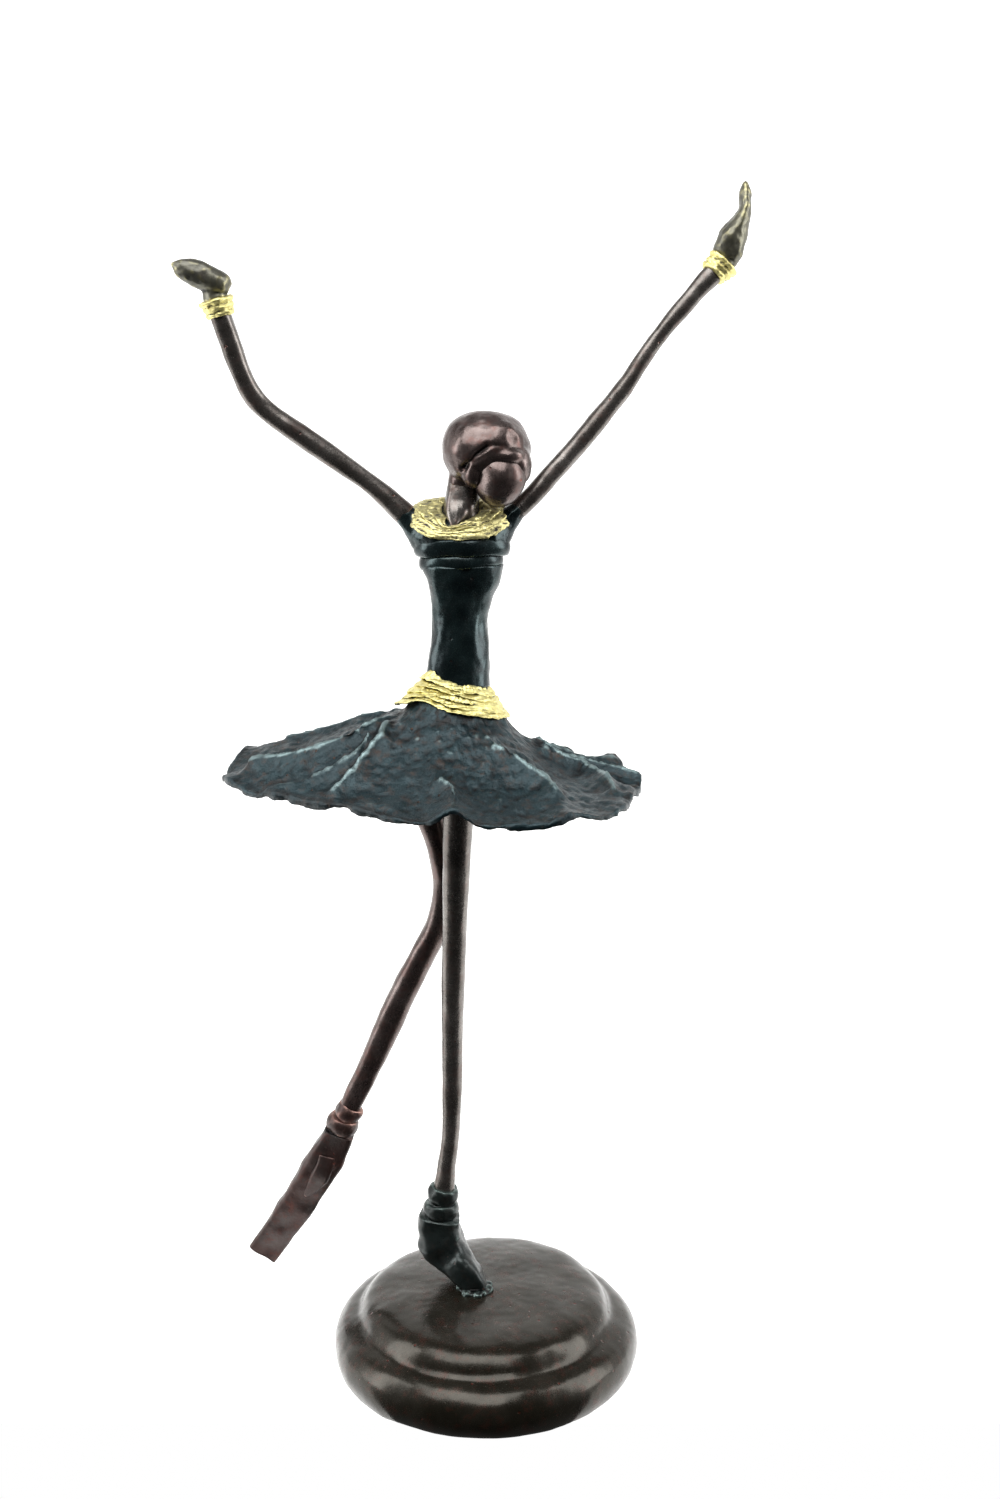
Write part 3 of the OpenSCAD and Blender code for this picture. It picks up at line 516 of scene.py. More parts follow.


# Roughness runs from gloss to matt, depths are in mm, and rubbing, with any painted highlight, shows from
# rub_from to rub_to of the wear_and_shade value
PATINAS = {
    # Liver of sulphur over cast bronze, waxed and buffed: a deep soft gloss, reddish in its pits
    "plinth": dict(
        name="waxed brown patina", ground="plinth", bloom="#322e27", rust="#5a2115", rub="#453c33",
        gloss=0.21, matt=0.30, coat=0.05, metal=0.6, pit_depth=0.2, grain_depth=0.008, rust_share=0.25,
        rub_from=0.70, rub_to=0.98),
    # The same patina on handled limbs: glossy dark metal, with copper showing through
    "limb": dict(
        name="brown-black limb patina", ground="limb", bloom="#77726e", rust="#61392f", rub="#a0847a",
        gloss=0.22, matt=0.38, coat=0.1, metal=0.8, pit_depth=0.1, grain_depth=0.016, rust_share=0.3,
        rub_from=0.68, rub_to=1.0),
    # Green-black patina left satin, as the flame darkened it near the braze
    "shoe": dict(
        name="green-black satin patina", ground="#191f1e", bloom="#262d2c", rust="#33211b", rub="#515d5a",
        gloss=0.26, matt=0.44, coat=0.05, metal=0.55, pit_depth=0.1, grain_depth=0.02, rust_share=0.3,
        rub_from=0.68, rub_to=0.98),
    # Ferric red-brown patina, polished by hands: pinkish copper shows on the high places
    "russet": dict(
        name="polished russet patina", ground="russet", bloom="#6b605d", rust="#5e332a", rub="#8f7974",
        gloss=0.24, matt=0.40, coat=0.08, metal=0.82, pit_depth=0.04, grain_depth=0.014, rust_share=0.45,
        rub_from=0.68, rub_to=0.98),
    # Red-brown patina left as cast and scuffed: dull, with copper along its edges
    "scuffed": dict(
        name="scuffed red-brown patina", ground="#382825", bloom="#3f3836", rust="#56281d", rub="#93746b",
        gloss=0.34, matt=0.50, coat=0.0, metal=0.6, pit_depth=0.08, grain_depth=0.045, rust_share=0.5,
        rub_from=0.60, rub_to=0.95),
    # Patina worn thin by handling: olive-grey bronze with a soft sheen
    "hand": dict(
        name="worn olive-grey patina", ground="#57564e", bloom="#6c6a5c", rust="#3b302a", rub="#8f8a6c",
        gloss=0.3, matt=0.46, coat=0.0, metal=0.75, pit_depth=0.04, grain_depth=0.016, rust_share=0.4,
        rub_from=0.62, rub_to=0.9),
    # Blue-black patina left rough from the mould: its rub colour gives the pale painted highlights along the
    # ridges, rust in the hollows
    "cloth": dict(
        name="rough blue-black patina", ground="skirt", bloom="#1e3237", rust="#4d301c", rub="#7a8c8d",
        gloss=0.30, matt=0.52, coat=0.0, metal=0.5, pit_depth=0.3, grain_depth=0.11, rust_share=0.45,
        rub_from=0.66, rub_to=1.0),
    # Blue-black patina waxed to a high gloss
    "bodice": dict(
        name="glossy blue-black patina", ground="bodice", bloom="#2b3a3b", rust="#2c1d1a", rub="#5d6f6c",
        gloss=0.16, matt=0.34, coat=0.12, metal=0.7, pit_depth=0.14, grain_depth=0.014, rust_share=0.2,
        rub_from=0.70, rub_to=0.98),
}


def finish(key):
    """One of the patinas, made when it is first asked for."""
    row = PATINAS[key]
    return bpy.data.materials.get(row["name"]) or patina(**row)


def filed_brass(name="filed brass", dull="#b8aa52", skin=0.70):
    """Brass filed bright over a dark casting skin, which stays in its grooves. dull is the brass between the
    flecks, and a larger skin leaves more of the dark."""
    if name in bpy.data.materials:
        return bpy.data.materials[name]
    material, tree, shader = blank_material(name)
    place = add(tree, "TexCoord").outputs["Object"]
    wear_and_shade = add(tree, "Attribute", attribute_name="wear_and_shade", attribute_type="GEOMETRY").outputs["Fac"]
    # Streaks run round the wraps, so they are drawn out level and close together in height
    drawn = add(tree, "Mapping", {"Vector": place, "Scale": (1.0, 1.0, 4.5)})
    streak = add(tree, "TexNoise", {"Vector": drawn, "Scale": per_mm(2.6), "Detail": 6.0, "Roughness": 0.7})
    fleck = add(tree, "TexNoise", {"Vector": place, "Scale": per_mm(0.8), "Detail": 3.0, "Roughness": 0.6})
    lie = add(tree, "Math", {0: streak, 1: 0.9, 2: wear_and_shade}, operation="MULTIPLY_ADD")
    clean = add(tree, "MapRange", {"Value": lie, "From Min": skin, "From Max": skin + 0.13},
                interpolation_type="SMOOTHSTEP")
    bright = rgba(bpy.context.scene.dancer_finish.brass)
    tint = add(tree, "Mix", {"Factor": fleck, "A": rgba(dull), "B": bright}, data_type="RGBA")
    colour = add(tree, "Mix", {"Factor": clean, "A": rgba("#1d150c"), "B": tint}, data_type="RGBA")
    shine = add(tree, "MapRange", {"Value": clean, "To Min": 0.25, "To Max": 0.82})
    rough = add(tree, "MapRange", {"Value": fleck, "From Min": 0.3, "From Max": 0.7, "To Min": 0.26,
                                   "To Max": 0.44})
    groove = add(tree, "Math", {0: streak, 1: 0.22}, operation="MULTIPLY")
    height = add(tree, "Math", {0: fleck, 1: 0.05, 2: groove}, operation="MULTIPLY_ADD")
    bump = add(tree, "Bump", {"Height": height, "Distance": MM, "Strength": 0.8})
    feed(tree, shader, {"Base Color": colour, "Metallic": shine, "Roughness": rough, "Normal": bump})
    return material


def zinc_steel():
    """Zinc-plated steel of the washer: dull blue-grey with a fine spangle."""
    material, tree, shader = blank_material("zinc-plated steel")
    place = add(tree, "TexCoord").outputs["Object"]
    spangle = add(tree, "TexNoise", {"Vector": place, "Scale": per_mm(1.2), "Detail": 3.0})
    colour = add(tree, "Mix", {"Factor": spangle, "A": rgba("#8f9496"), "B": rgba("#c0c4c4")}, data_type="RGBA")
    rough = add(tree, "MapRange", {"Value": spangle, "To Min": 0.25, "To Max": 0.5})
    feed(tree, shader, {"Base Color": colour, "Metallic": 1.0, "Roughness": rough})
    return material


# ---- Plinth ----


class DANCER_OT_plinth(bpy.types.Operator):
    """Spin the hollow plinth and run the braze bead round the toe"""

    bl_idname = "dancer.plinth"
    bl_label = "Plinth"

    def execute(self, context):
        outer = outline((
            (39.6, 0.0), (42.0, 0.0), (43.4, 2.2), (44.0, 5.4), (43.3, 8.9), (41.3, 11.6), (39.0, 13.0),
            (37.4, 13.6), (36.2, 14.7), (35.2, 16.4), (33.7, 18.2), (31.2, 19.6), (27.0, 20.5), (20.0, 21.0),
            (10.0, 21.35), (0.0, 21.5)), 0.7)
        inner = outline((
            (0.0, 18.4), (10.0, 18.3), (20.0, 17.6), (29.0, 16.4), (32.2, 14.6), (33.2, 12.4), (35.0, 10.8),
            (39.0, 8.8), (40.6, 5.4), (40.0, 2.0), (39.4, 0.4)), 1.6)
        shell = lathe(outer + inner, 256)
        weather(shell, ((0.9, 34.0), (0.25, 9.0), (0.07, 2.5)), seed=4.0, stretch=(1, 1, 0.8))
        # Filed flat where it stands
        for v in shell.verts:
            v.co.z = max(0.0, v.co.z)
        boss = bmesh.new()
        bmesh.ops.create_cone(boss, cap_ends=True, segments=48, radius1=6.0, radius2=6.4, depth=2.2,
                              matrix=Matrix.Translation((TOE_X, TOE_Y, 18.1)))
        finish_piece("plinth_casting", join(shell, boss), finish("plinth"), "plinth",
                     lift=False, reach=0.8)

        bead = bmesh.new()
        add_ball(bead, (TOE_X, TOE_Y, 0.0), 4.6, (1, 1, 0.3))
        for angle, away, size in ((-20, 4.0, 1.9), (25, 4.2, 1.5), (70, 3.6, 1.2), (130, 3.9, 1.3),
                                  (185, 4.2, 1.2), (235, 4.0, 1.5), (285, 4.1, 1.3), (-50, 4.3, 1.2)):
            a = math.radians(angle)
            add_ball(bead, (TOE_X + away * math.cos(a), TOE_Y + away * math.sin(a), 0.2), size, (1, 1, 0.8))
        bead = melt(bead, 0.28, 3)
        weather(bead, ((0.35, 1.6), (0.15, 0.7)), seed=2.0)
        finish_piece("braze_bead", bead, finish("shoe"), "toe_braze")
        return {"FINISHED"}


# ---- Legs and shoes ----


def band(point, heading, radius, seed, tilt):
    """One ribbon wound round an ankle, uneven as hand-laid wax."""
    profile = [(radius - 2.2, 0.1)]
    profile += [(radius - 0.9 + 0.9 * math.cos(math.radians(a)),
                 RIBBON_W / 2 * (1 + 0.98 * math.sin(math.radians(a)))) for a in range(-80, 81, 10)]
    profile += [(radius - 2.2, RIBBON_W - 0.1)]
    bm = lathe(profile, 72, closed=True)
    bmesh.ops.rotate(bm, cent=(0, 0, RIBBON_W / 2), matrix=Matrix.Rotation(math.radians(tilt), 3, "Y"),
                     verts=bm.verts)
    bmesh.ops.transform(bm, matrix=seat(point, heading), verts=bm.verts)
    weather(bm, ((0.5, 4.2), (0.16, 1.8)), seed=seed)
    return bm


def wind_ribbons(leg, ankle, way, key, laps):
    """Winds two ribbons below the ankle, one under the other. Each lap is (radius, seed, tilt)."""
    for i, (end, level, lap) in enumerate(zip(("top", "foot"), ("upper", "lower"), laps)):
        ribbon = band(ankle + way * RIBBON_W * i, way, *lap)
        finish_piece(f"{leg}_ribbon_{end}", ribbon, finish(key), f"{leg}_ribbon_{level}")


class DANCER_OT_standing_leg(bpy.types.Operator):
    """Sweep the standing leg, its ankle ribbons and the shoe that stands on its toe"""

    bl_idname = "dancer.standing_leg"
    bl_label = "Standing leg"

    def execute(self, context):
        ankle, way = outer_end(STANDING_LEG)
        leg = sweep(STANDING_LEG + ((*(ankle + way * 2), 3.1, 3.1),), sides=56)
        weather(leg, ((0.5, 16.0), (0.22, 4.5), (0.07, 1.6)), seed=1.0, stretch=(1, 1, 0.35))
        finish_piece("standing_leg_casting", leg, finish("limb"), "standing_leg")
        wind_ribbons("standing", ankle, way, "shoe", ((4.5, 5.0, 5.0), (5.1, 8.0, -6.0)))

        mouth = ankle + way * 2 * RIBBON_W
        shoe = sweep((
            (*mouth, 5.4, 5.2, *way), (*(mouth + way * 3), 5.9, 5.6, 0.0, -0.05, -1),
            (-12.5, 3.2, 12.0, 6.2, 5.8, 0.35, -0.2, -1), (-10.8, 2.2, 8.9, 5.6, 5.4, 0.7, -0.45, -1),
            (-8.0, 0.4, 5.9, 4.6, 4.8, 0.75, -0.5, -1), (-5.4, -1.4, 3.4, 4.1, 4.3, 0.6, -0.4, -1),
            (TOE_X, TOE_Y, 1.0, 3.9, 3.7, 0, 0, -1)), sides=72, spacing=0.4, squareness=1.6)
        press(shoe, (
            ((-18.2, 2.0, 11.4), 3.4, 1.1), ((-13.0, -2.6, 9.0), 4.0, -0.6), ((-7.5, -4.2, 9.5), 2.6, 0.6)))
        weather(shoe, ((0.8, 6.5), (0.25, 3.0), (0.08, 1.2)), seed=6.0)
        finish_piece("standing_shoe_casting", shoe, finish("shoe"), "standing_shoe")
        return {"FINISHED"}


class DANCER_OT_free_leg(bpy.types.Operator):
    """Sweep the trailing leg, its ankle ribbons and its flat shoe"""

    bl_idname = "dancer.free_leg"
    bl_label = "Free leg"

    def execute(self, context):
        ankle, way = outer_end(FREE_LEG)
        leg = sweep(FREE_LEG + ((*(ankle + way * 2), 3.1, 3.0),), sides=56, squareness=0.25)
        weather(leg, ((0.55, 15.0), (0.25, 4.5), (0.08, 1.6)), seed=3.0, stretch=(1, 1, 0.4))
        finish_piece("free_leg_casting", leg, finish("russet"), "free_leg")
        wind_ribbons("free", ankle, way, "scuffed", ((4.1, 12.0, 6.0), (4.7, 15.0, -7.0)))

        mouth = ankle + way * 2 * RIBBON_W
        shoe = sweep((
            (*mouth, 4.6, 4.4), (*(mouth + way * 3), 5.0, 4.3), (-50.5, 20.2, 25.0, 5.2, 3.9),
            (-56.2, 21.0, 15.5, 5.1, 3.4), (-62.0, 21.8, 6.5, 5.0, 2.9), (-67.8, 22.4, -1.9, 4.7, 2.4)),
            sides=72, spacing=0.45, squareness=2.2)
        press(shoe, (
            ((-53.5, 16.6, 17.0), 4.5, -0.5), ((-62.5, 18.6, 5.0), 3.5, 0.4), ((-66.0, 19.8, 0.0), 3.0, -0.4)))
        # Strap end that stands off the instep
        strap = sweep((
            (-46.9, 16.2, 32.0, 2.4, 1.0), (-47.8, 16.1, 28.8, 2.3, 1.5), (-49.6, 16.6, 25.0, 2.3, 1.6),
            (-51.9, 17.3, 21.4, 1.5, 1.3), (-53.8, 18.0, 19.2, 0.6, 0.7)),
            sides=40, spacing=0.45, squareness=2.5)
        shoe = join(shoe, strap)
        weather(shoe, ((0.9, 7.0), (0.3, 3.0)), seed=9.0, stretch=(0.8, 1, 0.6))
        finish_piece("free_shoe_casting", shoe, finish("scuffed"), "free_shoe", reach=0.5)
        return {"FINISHED"}


# ---- Skirt ----

SKIRT_SIDES, SKIRT_ROWS, LINING_ROWS = 480, 66, 24
SKIRT_AXIS = Vector((BELT_X, BELT_Y, 0.0))
SKIRT_MID = Vector((-14.8, -2.0, 0.0))
SKIRT_HALF = (57.0, 46.0)
HEM_Z = 148.5
HEM_T = 1.5
# Outline of the hem from above, in shares of its half width and half depth
HEM_OUTLINE = (
    (1, 0.1), (0.98, -0.18), (0.86, -0.7), (0.62, -0.97), (0.35, -1.02), (0, -0.94), (-0.45, -0.58),
    (-0.84, -0.22),
    (-1.0, 0.06), (-0.98, 0.44), (-0.81, 0.77), (-0.4, 0.95), (0, 1), (0.5, 0.93), (0.86, 0.58))
# Crests round the hem: angle, height, angular width
HEM_FOLDS = (
    (184, 1.1, 7), (208, 0.4, 8), (230, 0.25, 8), (270, 1.5, 5), (303, 0.9, 6), (322, 0.4, 5), (338, 0.9, 7),
    (3, 1.0, 7), (25, 1.7, 8), (48, 1.3, 8), (75, 0.6, 9), (102, 1.1, 9), (128, 0.7, 9), (160, 2.6, 9))
# Ridges that fan out from the belt: height share, width in mm, then angle and radius along each
RIDGES = (
    (1.0, 1.5, (190, 19), (198, 28), (193, 38), (187, 48), (182, 56)),
    (0.8, 1.4, (205, 26), (212, 31), (209, 38), (205, 46), (199, 52)),
    (1.1, 1.5, (201, 20), (216, 25), (218, 30), (220, 35), (220, 41)),
    (0.5, 1.4, (215, 44), (232, 43), (244, 41)),
    (0.8, 1.2, (264, 33), (269, 37), (270, 41)),
    (1.1, 1.5, (295, 19), (297, 23), (303, 28), (306, 33), (309, 37), (306, 43)),
    (1.0, 1.5, (358, 22), (350, 28), (356, 34), (347, 39), (331, 47)),
    (0.9, 1.4, (349, 24), (5, 33), (0, 44), (357, 49)),
    (0.9, 1.8, (60, 20), (50, 32), (47, 43)), (0.8, 1.8, (22, 24), (20, 36), (20, 46)),
    (0.9, 1.8, (90, 18), (98, 30), (102, 42)), (0.8, 1.8, (120, 18), (126, 30), (128, 44)),
    (0.9, 1.8, (150, 20), (156, 36), (157, 54)), (0.7, 1.8, (75, 24), (75, 40)))


def polar(angle, radius):
    return SKIRT_AXIS + Vector((math.cos(math.radians(angle)), math.sin(math.radians(angle)), 0)) * radius


def hem_place(share):
    """Place on the hem's outline, seen from above."""
    count = len(HEM_OUTLINE)
    i = int(share * count)
    before, here, there, after = (Vector(HEM_OUTLINE[(i + k) % count]) for k in (-1, 0, 1, 2))
    t = share * count - i
    p = between(before, here, there, after, t)
    return SKIRT_MID + Vector((p.x * SKIRT_HALF[0], p.y * SKIRT_HALF[1], 0))


def hem_lift(angle):
    """Height of the hem's wave at an angle."""
    wave = sum(h * math.exp(-(abs((angle - a + 540) % 360 - 180) / w) ** 2) for a, h, w in HEM_FOLDS)
    return 2.6 * (wave - 0.4)


def skirt_place(share, t, under):
    """Place on the skirt's upper or lower face, t of the way from the belt to the hem. Below zero it climbs
    the hips under the belt."""
    hem = hem_place(share)
    out = hem - SKIRT_AXIS
    a = math.atan2(out.y, out.x)
    drop = BELT_W + 5.5 * min(t, 0.0) / 0.12
    t = max(t, 0.0)
    neck_r = 12.45 if under else 8.45 + 6.0 * drop / BELT_W
    lean, level = math.sin(BELT_TILT), math.cos(BELT_TILT)
    neck = SKIRT_AXIS - Vector((lean * drop, 0, 0)) + Vector((math.cos(a) * level, math.sin(a), 0)) * neck_r
    neck_z = BELT_Z - level * drop - lean * neck_r * math.cos(a) - 0.05
    foot_z = HEM_Z + hem_lift(math.degrees(a)) * t * t - (HEM_T if under else 0)
    place = neck.lerp(hem, t)
    place.z = (foot_z + (neck_z - foot_z) * (1 - t) ** (1.9 + 0.65 * math.cos(a))
               - (5 * (1 - t) ** 6 if under else 0))
    return place


RIDGE_LINES = [(height, width, [polar(*p) for p in line]) for height, width, *line in RIDGES]


def ridge_lift(place):
    """Share of the full ridge height at a place seen from above."""
    flat = Vector((place.x, place.y, 0))
    lift = 0.0
    for height, width, points in RIDGE_LINES:
        near = min(gap_to(flat, a, b) for a, b in zip(points, points[1:]))
        if near < 6 * width:
            lift = max(lift, height * math.exp(-near / (1.7 * width)))
    return lift


class DANCER_OT_skirt(bpy.types.Operator):
    """Extrude the folded skirt from the belt to the hem and back underneath"""

    bl_idname = "dancer.skirt"
    bl_label = "Skirt"

    def execute(self, context):
        ridge = context.scene.dancer_casting.ridge / MM
        bm = bmesh.new()
        shine = bm.verts.layers.float.new("shine")
        courses = [(i / SKIRT_ROWS, False) for i in range(-8, SKIRT_ROWS + 1)]
        courses += [(1 - i / LINING_ROWS, True) for i in range(LINING_ROWS + 1)]
        rings = loft(bm, SKIRT_SIDES, courses, lambda k, t, under: skirt_place(k / SKIRT_SIDES, t, under))
        for ring, (t, _) in zip(rings, courses):
            for v in ring:
                lift = ridge_lift(v.co)
                v.co.z += ridge * lift * max(0.0, min(1.0, t * 3.5)) * (1 - 0.5 * t ** 6)
                # Painted highlight: the shine layer lifts the crests of the folds into the pale rub colour; it
                # is lowered at the hem so the hem edge is not pale
                v[shine] = 0.23 * lift ** 4 * max(0.0, min(1.0, t * 4)) - 0.5 * max(0.0, t - 0.95) / 0.05
        close_loft(bm)
        weather(bm, ((0.8, 8.0), (0.5, 2.8), (0.28, 1.3)), seed=7.0)
        finish_piece("folded_skirt", bm, finish("cloth"), "skirt", reach=1.7)
        return {"FINISHED"}


# ---- Belt ----

WRAP_SIDES = 420
# Section of a wrap: share of its thickness, then share of its width from the ragged lower edge up
WRAP_SECTION = (
    (0.0, 0.05), (0.7, -0.02), (0.95, 0.03), (1.0, 0.14), (0.92, 0.32), (0.84, 0.5), (0.72, 0.7), (0.6, 0.9),
    (0.42, 1.08), (0.2, 1.2), (0.0, 1.22))


def hump(turn, middle, width):
    """1 at an angle, falling away on both sides of it."""
    return math.exp(-(((turn - middle) / width) ** 2))


def wrap_place(number, slope, spread, rag, k, thick, share):
    """Place on one of the belt's wraps, under the middle of its upper rim."""
    a, out = way_out(k, WRAP_SIDES)
    turn = math.degrees(a)
    upper, lower = (number - 1) * WRAP_W, number * WRAP_W
    # The wraps crowd together at the front
    crowd = 0.1 + 0.38 * hump(turn, 228, 32) + 0.12 * hump(turn, 285, 30)
    depth = (lower + (upper - lower) * share) * (1 - crowd)
    wander = rag * ripple(out, (1.1, 2.2, number * 1.7), (0.8, 6, number * 2.3 + share * 0.5),
                          (0.4, 18, number * 3.3 + share))
    proud = 1.3 * (1 + ripple(out, (0.4, 3, number * 5.1)))
    # They stand further out on the dancer's right, and the first one peaks there
    peak = 1.9 * hump(turn, 214, 18) if number == 1 else 0.0
    radius = 8.2 + 6.0 * min(1, max(0, depth / BELT_W)) + 0.05 + thick * proud + spread * hump(turn, 185, 34)
    rise = -math.tan(math.radians(slope)) * out.x * radius + peak * (0.4 + 0.6 * share)
    return out * radius - Vector((0, 0, depth + wander - rise))


class DANCER_OT_belt(bpy.types.Operator):
    """Wind the five ragged brass wraps of the belt"""

    bl_idname = "dancer.belt"
    bl_label = "Belt"

    def execute(self, context):
        rag = context.scene.dancer_casting.rag / MM
        lie = Matrix.Translation((BELT_X, BELT_Y, BELT_Z)) @ Matrix.Rotation(BELT_TILT, 4, "Y")
        # Each wrap's slope in degrees, and its spread in mm
        for number, slope, spread in (
                (1, 6.5, 0.0), (2, 5.0, 0.1), (3, 3.2, 0.8), (4, 1.4, 1.3), (5, 0.0, 1.9)):
            bm = bmesh.new()
            loft(bm, WRAP_SIDES, WRAP_SECTION, functools.partial(wrap_place, number, slope, spread, rag))
            close_loft(bm, cuts=1)
            weather(bm, ((0.3, 1.6), (0.14, 0.7)), seed=number * 3.1, stretch=(0.3, 0.3, 2.2))
            bmesh.ops.transform(bm, matrix=lie, verts=bm.verts)
            finish_piece(f"belt_wrap_{number}", bm, filed_brass(), f"belt_strip_{number}",
                         reach=0.25)
        return {"FINISHED"}


# ---- Bodice and shoulders ----

CHEST = Vector((-5.9, 0.2, 206.9))
TRIM_T = 2.0
TRIM_SIDES = 160
YOKE_SIDES = 120
COLLAR_SIDES = 360
YOKE_Z = CHEST.z + 2 * TRIM_T
NECK_R = 4.5
# Levels of the yoke: x, y, z, half width, half depth, rise from front to back, lift of the shoulders
YOKE_LEVELS = (
    (-5.9, 0.2, YOKE_Z, 12.2, 8.2, 0, 0), (-6.2, 0.1, YOKE_Z + 3.2, 13.2, 8.5, 0.06, 0),
    (-6.5, 0.0, YOKE_Z + 6.4, 13.4, 8.3, 0.2, 0.8), (-6.7, 0.0, YOKE_Z + 8.8, 12.4, 7.5, 0.4, 1.6),
    (-6.6, -0.2, YOKE_Z + 10.2, 9.6, 6.3, 0.52, 1.2),
    (-6.3, -0.4, YOKE_Z + 10.8, NECK_R + 0.4, NECK_R + 0.3, 0.6, 0))


def yoke_place(t, angle):
    """Place on the shoulders, t levels up and at an angle round them."""
    last = len(YOKE_LEVELS) - 1
    i = min(int(t), last - 1)
    before, here, there, after = (Vector(YOKE_LEVELS[max(0, min(last, i + k))]) for k in (-1, 0, 1, 2))
    x, y, z, width, depth, rise, lift = between(before, here, there, after, t - i)
    return Vector((x + width * math.cos(angle), y + depth * math.sin(angle),
                   z + rise * depth * math.sin(angle) + lift * math.cos(angle) ** 2))


def yoke_normal(t, angle):
    return (yoke_place(t, angle + 0.03) - yoke_place(t, angle - 0.03)).cross(
        yoke_place(t + 0.05, angle) - yoke_place(t - 0.05, angle)).normalized()


class DANCER_OT_bodice(bpy.types.Operator):
    """Sweep the bodice and roll its two upper edges"""

    bl_idname = "dancer.bodice"
    bl_label = "Bodice"

    def execute(self, context):
        body = sweep((
            (-7.2, 1.0, 175.4, 8.9, 7.8), (-6.8, 0.9, 182.5, 8.3, 7.2), (-6.7, 0.7, 192.5, 7.6, 6.6),
            (-6.3, 0.5, 199.5, 8.5, 7.1), (-5.9, 0.3, 203.9, 9.9, 7.9),
            (CHEST.x, CHEST.y, CHEST.z + 0.3, 10.8, 8.2)),
            sides=112, spacing=0.6)
        weather(body, ((0.7, 9.0), (0.28, 3.4), (0.09, 1.3)), seed=11.0, stretch=(1, 1, 0.6))
        finish_piece("bodice_casting", body, finish("bodice"), "torso")
        for number, node, tilt, width, depth, middle, reach in (
                (1, "bodice_trim_lower", -3.5, 11.5, 8.4, 0.75, 0.95),
                (2, "bodice_trim_upper", -1.0, 12.9, 9.2, 1.6, 1.2)):
            foot = CHEST.z + (number - 1) * TRIM_T

            def place(k, bulge, share):
                _, out = way_out(k, TRIM_SIDES)
                wander = ripple(out, (0.35, 1.9, number * 4.0))
                return Vector((CHEST.x + (width + bulge) * out.x, CHEST.y + (depth + bulge) * out.y,
                               foot + TRIM_T * share + wander))

            # Half round outside, with a flat back inside the bodice
            section = [(-2.4, middle - reach)]
            section += [(math.cos(a) - 1, middle + reach * math.sin(a))
                        for a in (math.radians(d) for d in range(-90, 91, 15))]
            section += [(-2.4, middle + reach)]
            roll = bmesh.new()
            loft(roll, TRIM_SIDES, section, place)
            close_loft(roll)
            bmesh.ops.rotate(roll, cent=(CHEST.x, CHEST.y, foot), verts=roll.verts,
                             matrix=Matrix.Rotation(math.radians(tilt), 3, "Y"))
            weather(roll, ((0.45, 5.0), (0.14, 1.8)), seed=13.0 + number, stretch=(0.5, 0.5, 1))
            finish_piece(f"bodice_roll_{number}", roll, finish("bodice"), node)
        return {"FINISHED"}


class DANCER_OT_shoulders(bpy.types.Operator):
    """Loft the shoulders, melt the arm stubs into them and stand the neck on top"""

    bl_idname = "dancer.shoulders"
    bl_label = "Shoulders and neck"

    def execute(self, context):
        yoke = bmesh.new()
        rings = loft(yoke, YOKE_SIDES, [(step / 10,) for step in range(51)],
                     lambda k, t: yoke_place(t, math.tau * k / YOKE_SIDES))
        cap(yoke, rings[0])
        cap(yoke, rings[-1])
        bmesh.ops.recalc_face_normals(yoke, faces=yoke.faces)
        stubs = []
        for arm in (RIGHT_ARM, LEFT_ARM):
            start = Vector(arm[0][:3])
            way = (Vector(arm[1][:3]) - start).normalized()
            stubs.append(sweep((
                (*(start - way * 9), 5.4, 4.8), (*(start - way * 4.5), 3.7, 3.5), (*start, 2.65, 2.65),
                (*(start + way * 3), 2.0, 2.0)), sides=40, spacing=0.6))
        yoke = melt(join(yoke, *stubs), 0.4, 5)
        weather(yoke, ((0.5, 7.0), (0.22, 2.6), (0.08, 1.1)), seed=17.0)
        finish_piece("shoulder_casting", yoke, finish("bodice"), "shoulder_yoke")

        neck = sweep((
            (-6.3, -0.9, 220.0, 5.0, 4.9, -0.02, -0.5, 1), (-6.3, -0.4, 221.7, 4.7, 4.6, 0, -0.45, 1),
            (-6.1, -0.5, 224.0, 4.5, 4.5, 0.05, -0.25, 1), (-5.3, 0.2, 227.9, 4.4, 4.4, 0.25, 0, 1),
            (-4.9, 0.2, 229.4, 4.3, 4.3, 0.25, 0, 1)), sides=64, spacing=0.4)
        # Open throat: the skin runs down to a point between the collar's ends
        throat = sweep((
            (-7.8, -6.2, 216.4, 0.8, 1.0), (-7.6, -5.6, 218.2, 1.7, 1.5), (-7.3, -4.2, 220.6, 2.9, 2.3),
            (-6.9, -2.4, 223.4, 3.3, 2.8), (-6.6, -1.4, 226.0, 3.2, 3.0)), sides=48, spacing=0.5)
        neck = melt(join(neck, throat), 0.34, 4)
        weather(neck, ((0.5, 5.0), (0.16, 1.8)), seed=19.0, stretch=(1.2, 1, 0.5))
        finish_piece("neck_casting", neck, finish("limb"), "neck")
        return {"FINISHED"}


# Section of a collar layer: share of its width from the lower edge up, then height off the shoulders in mm.
# Each layer is tucked under the next one up, and its lower edge stands off the layer below
COLLAR_SECTION = (
    (1.35, 0.05), (1.3, 0.3), (1.0, 0.55), (0.7, 0.66), (0.4, 0.74), (0.15, 0.78), (0.02, 0.7), (-0.04, 0.4),
    (-0.03, 0.02))


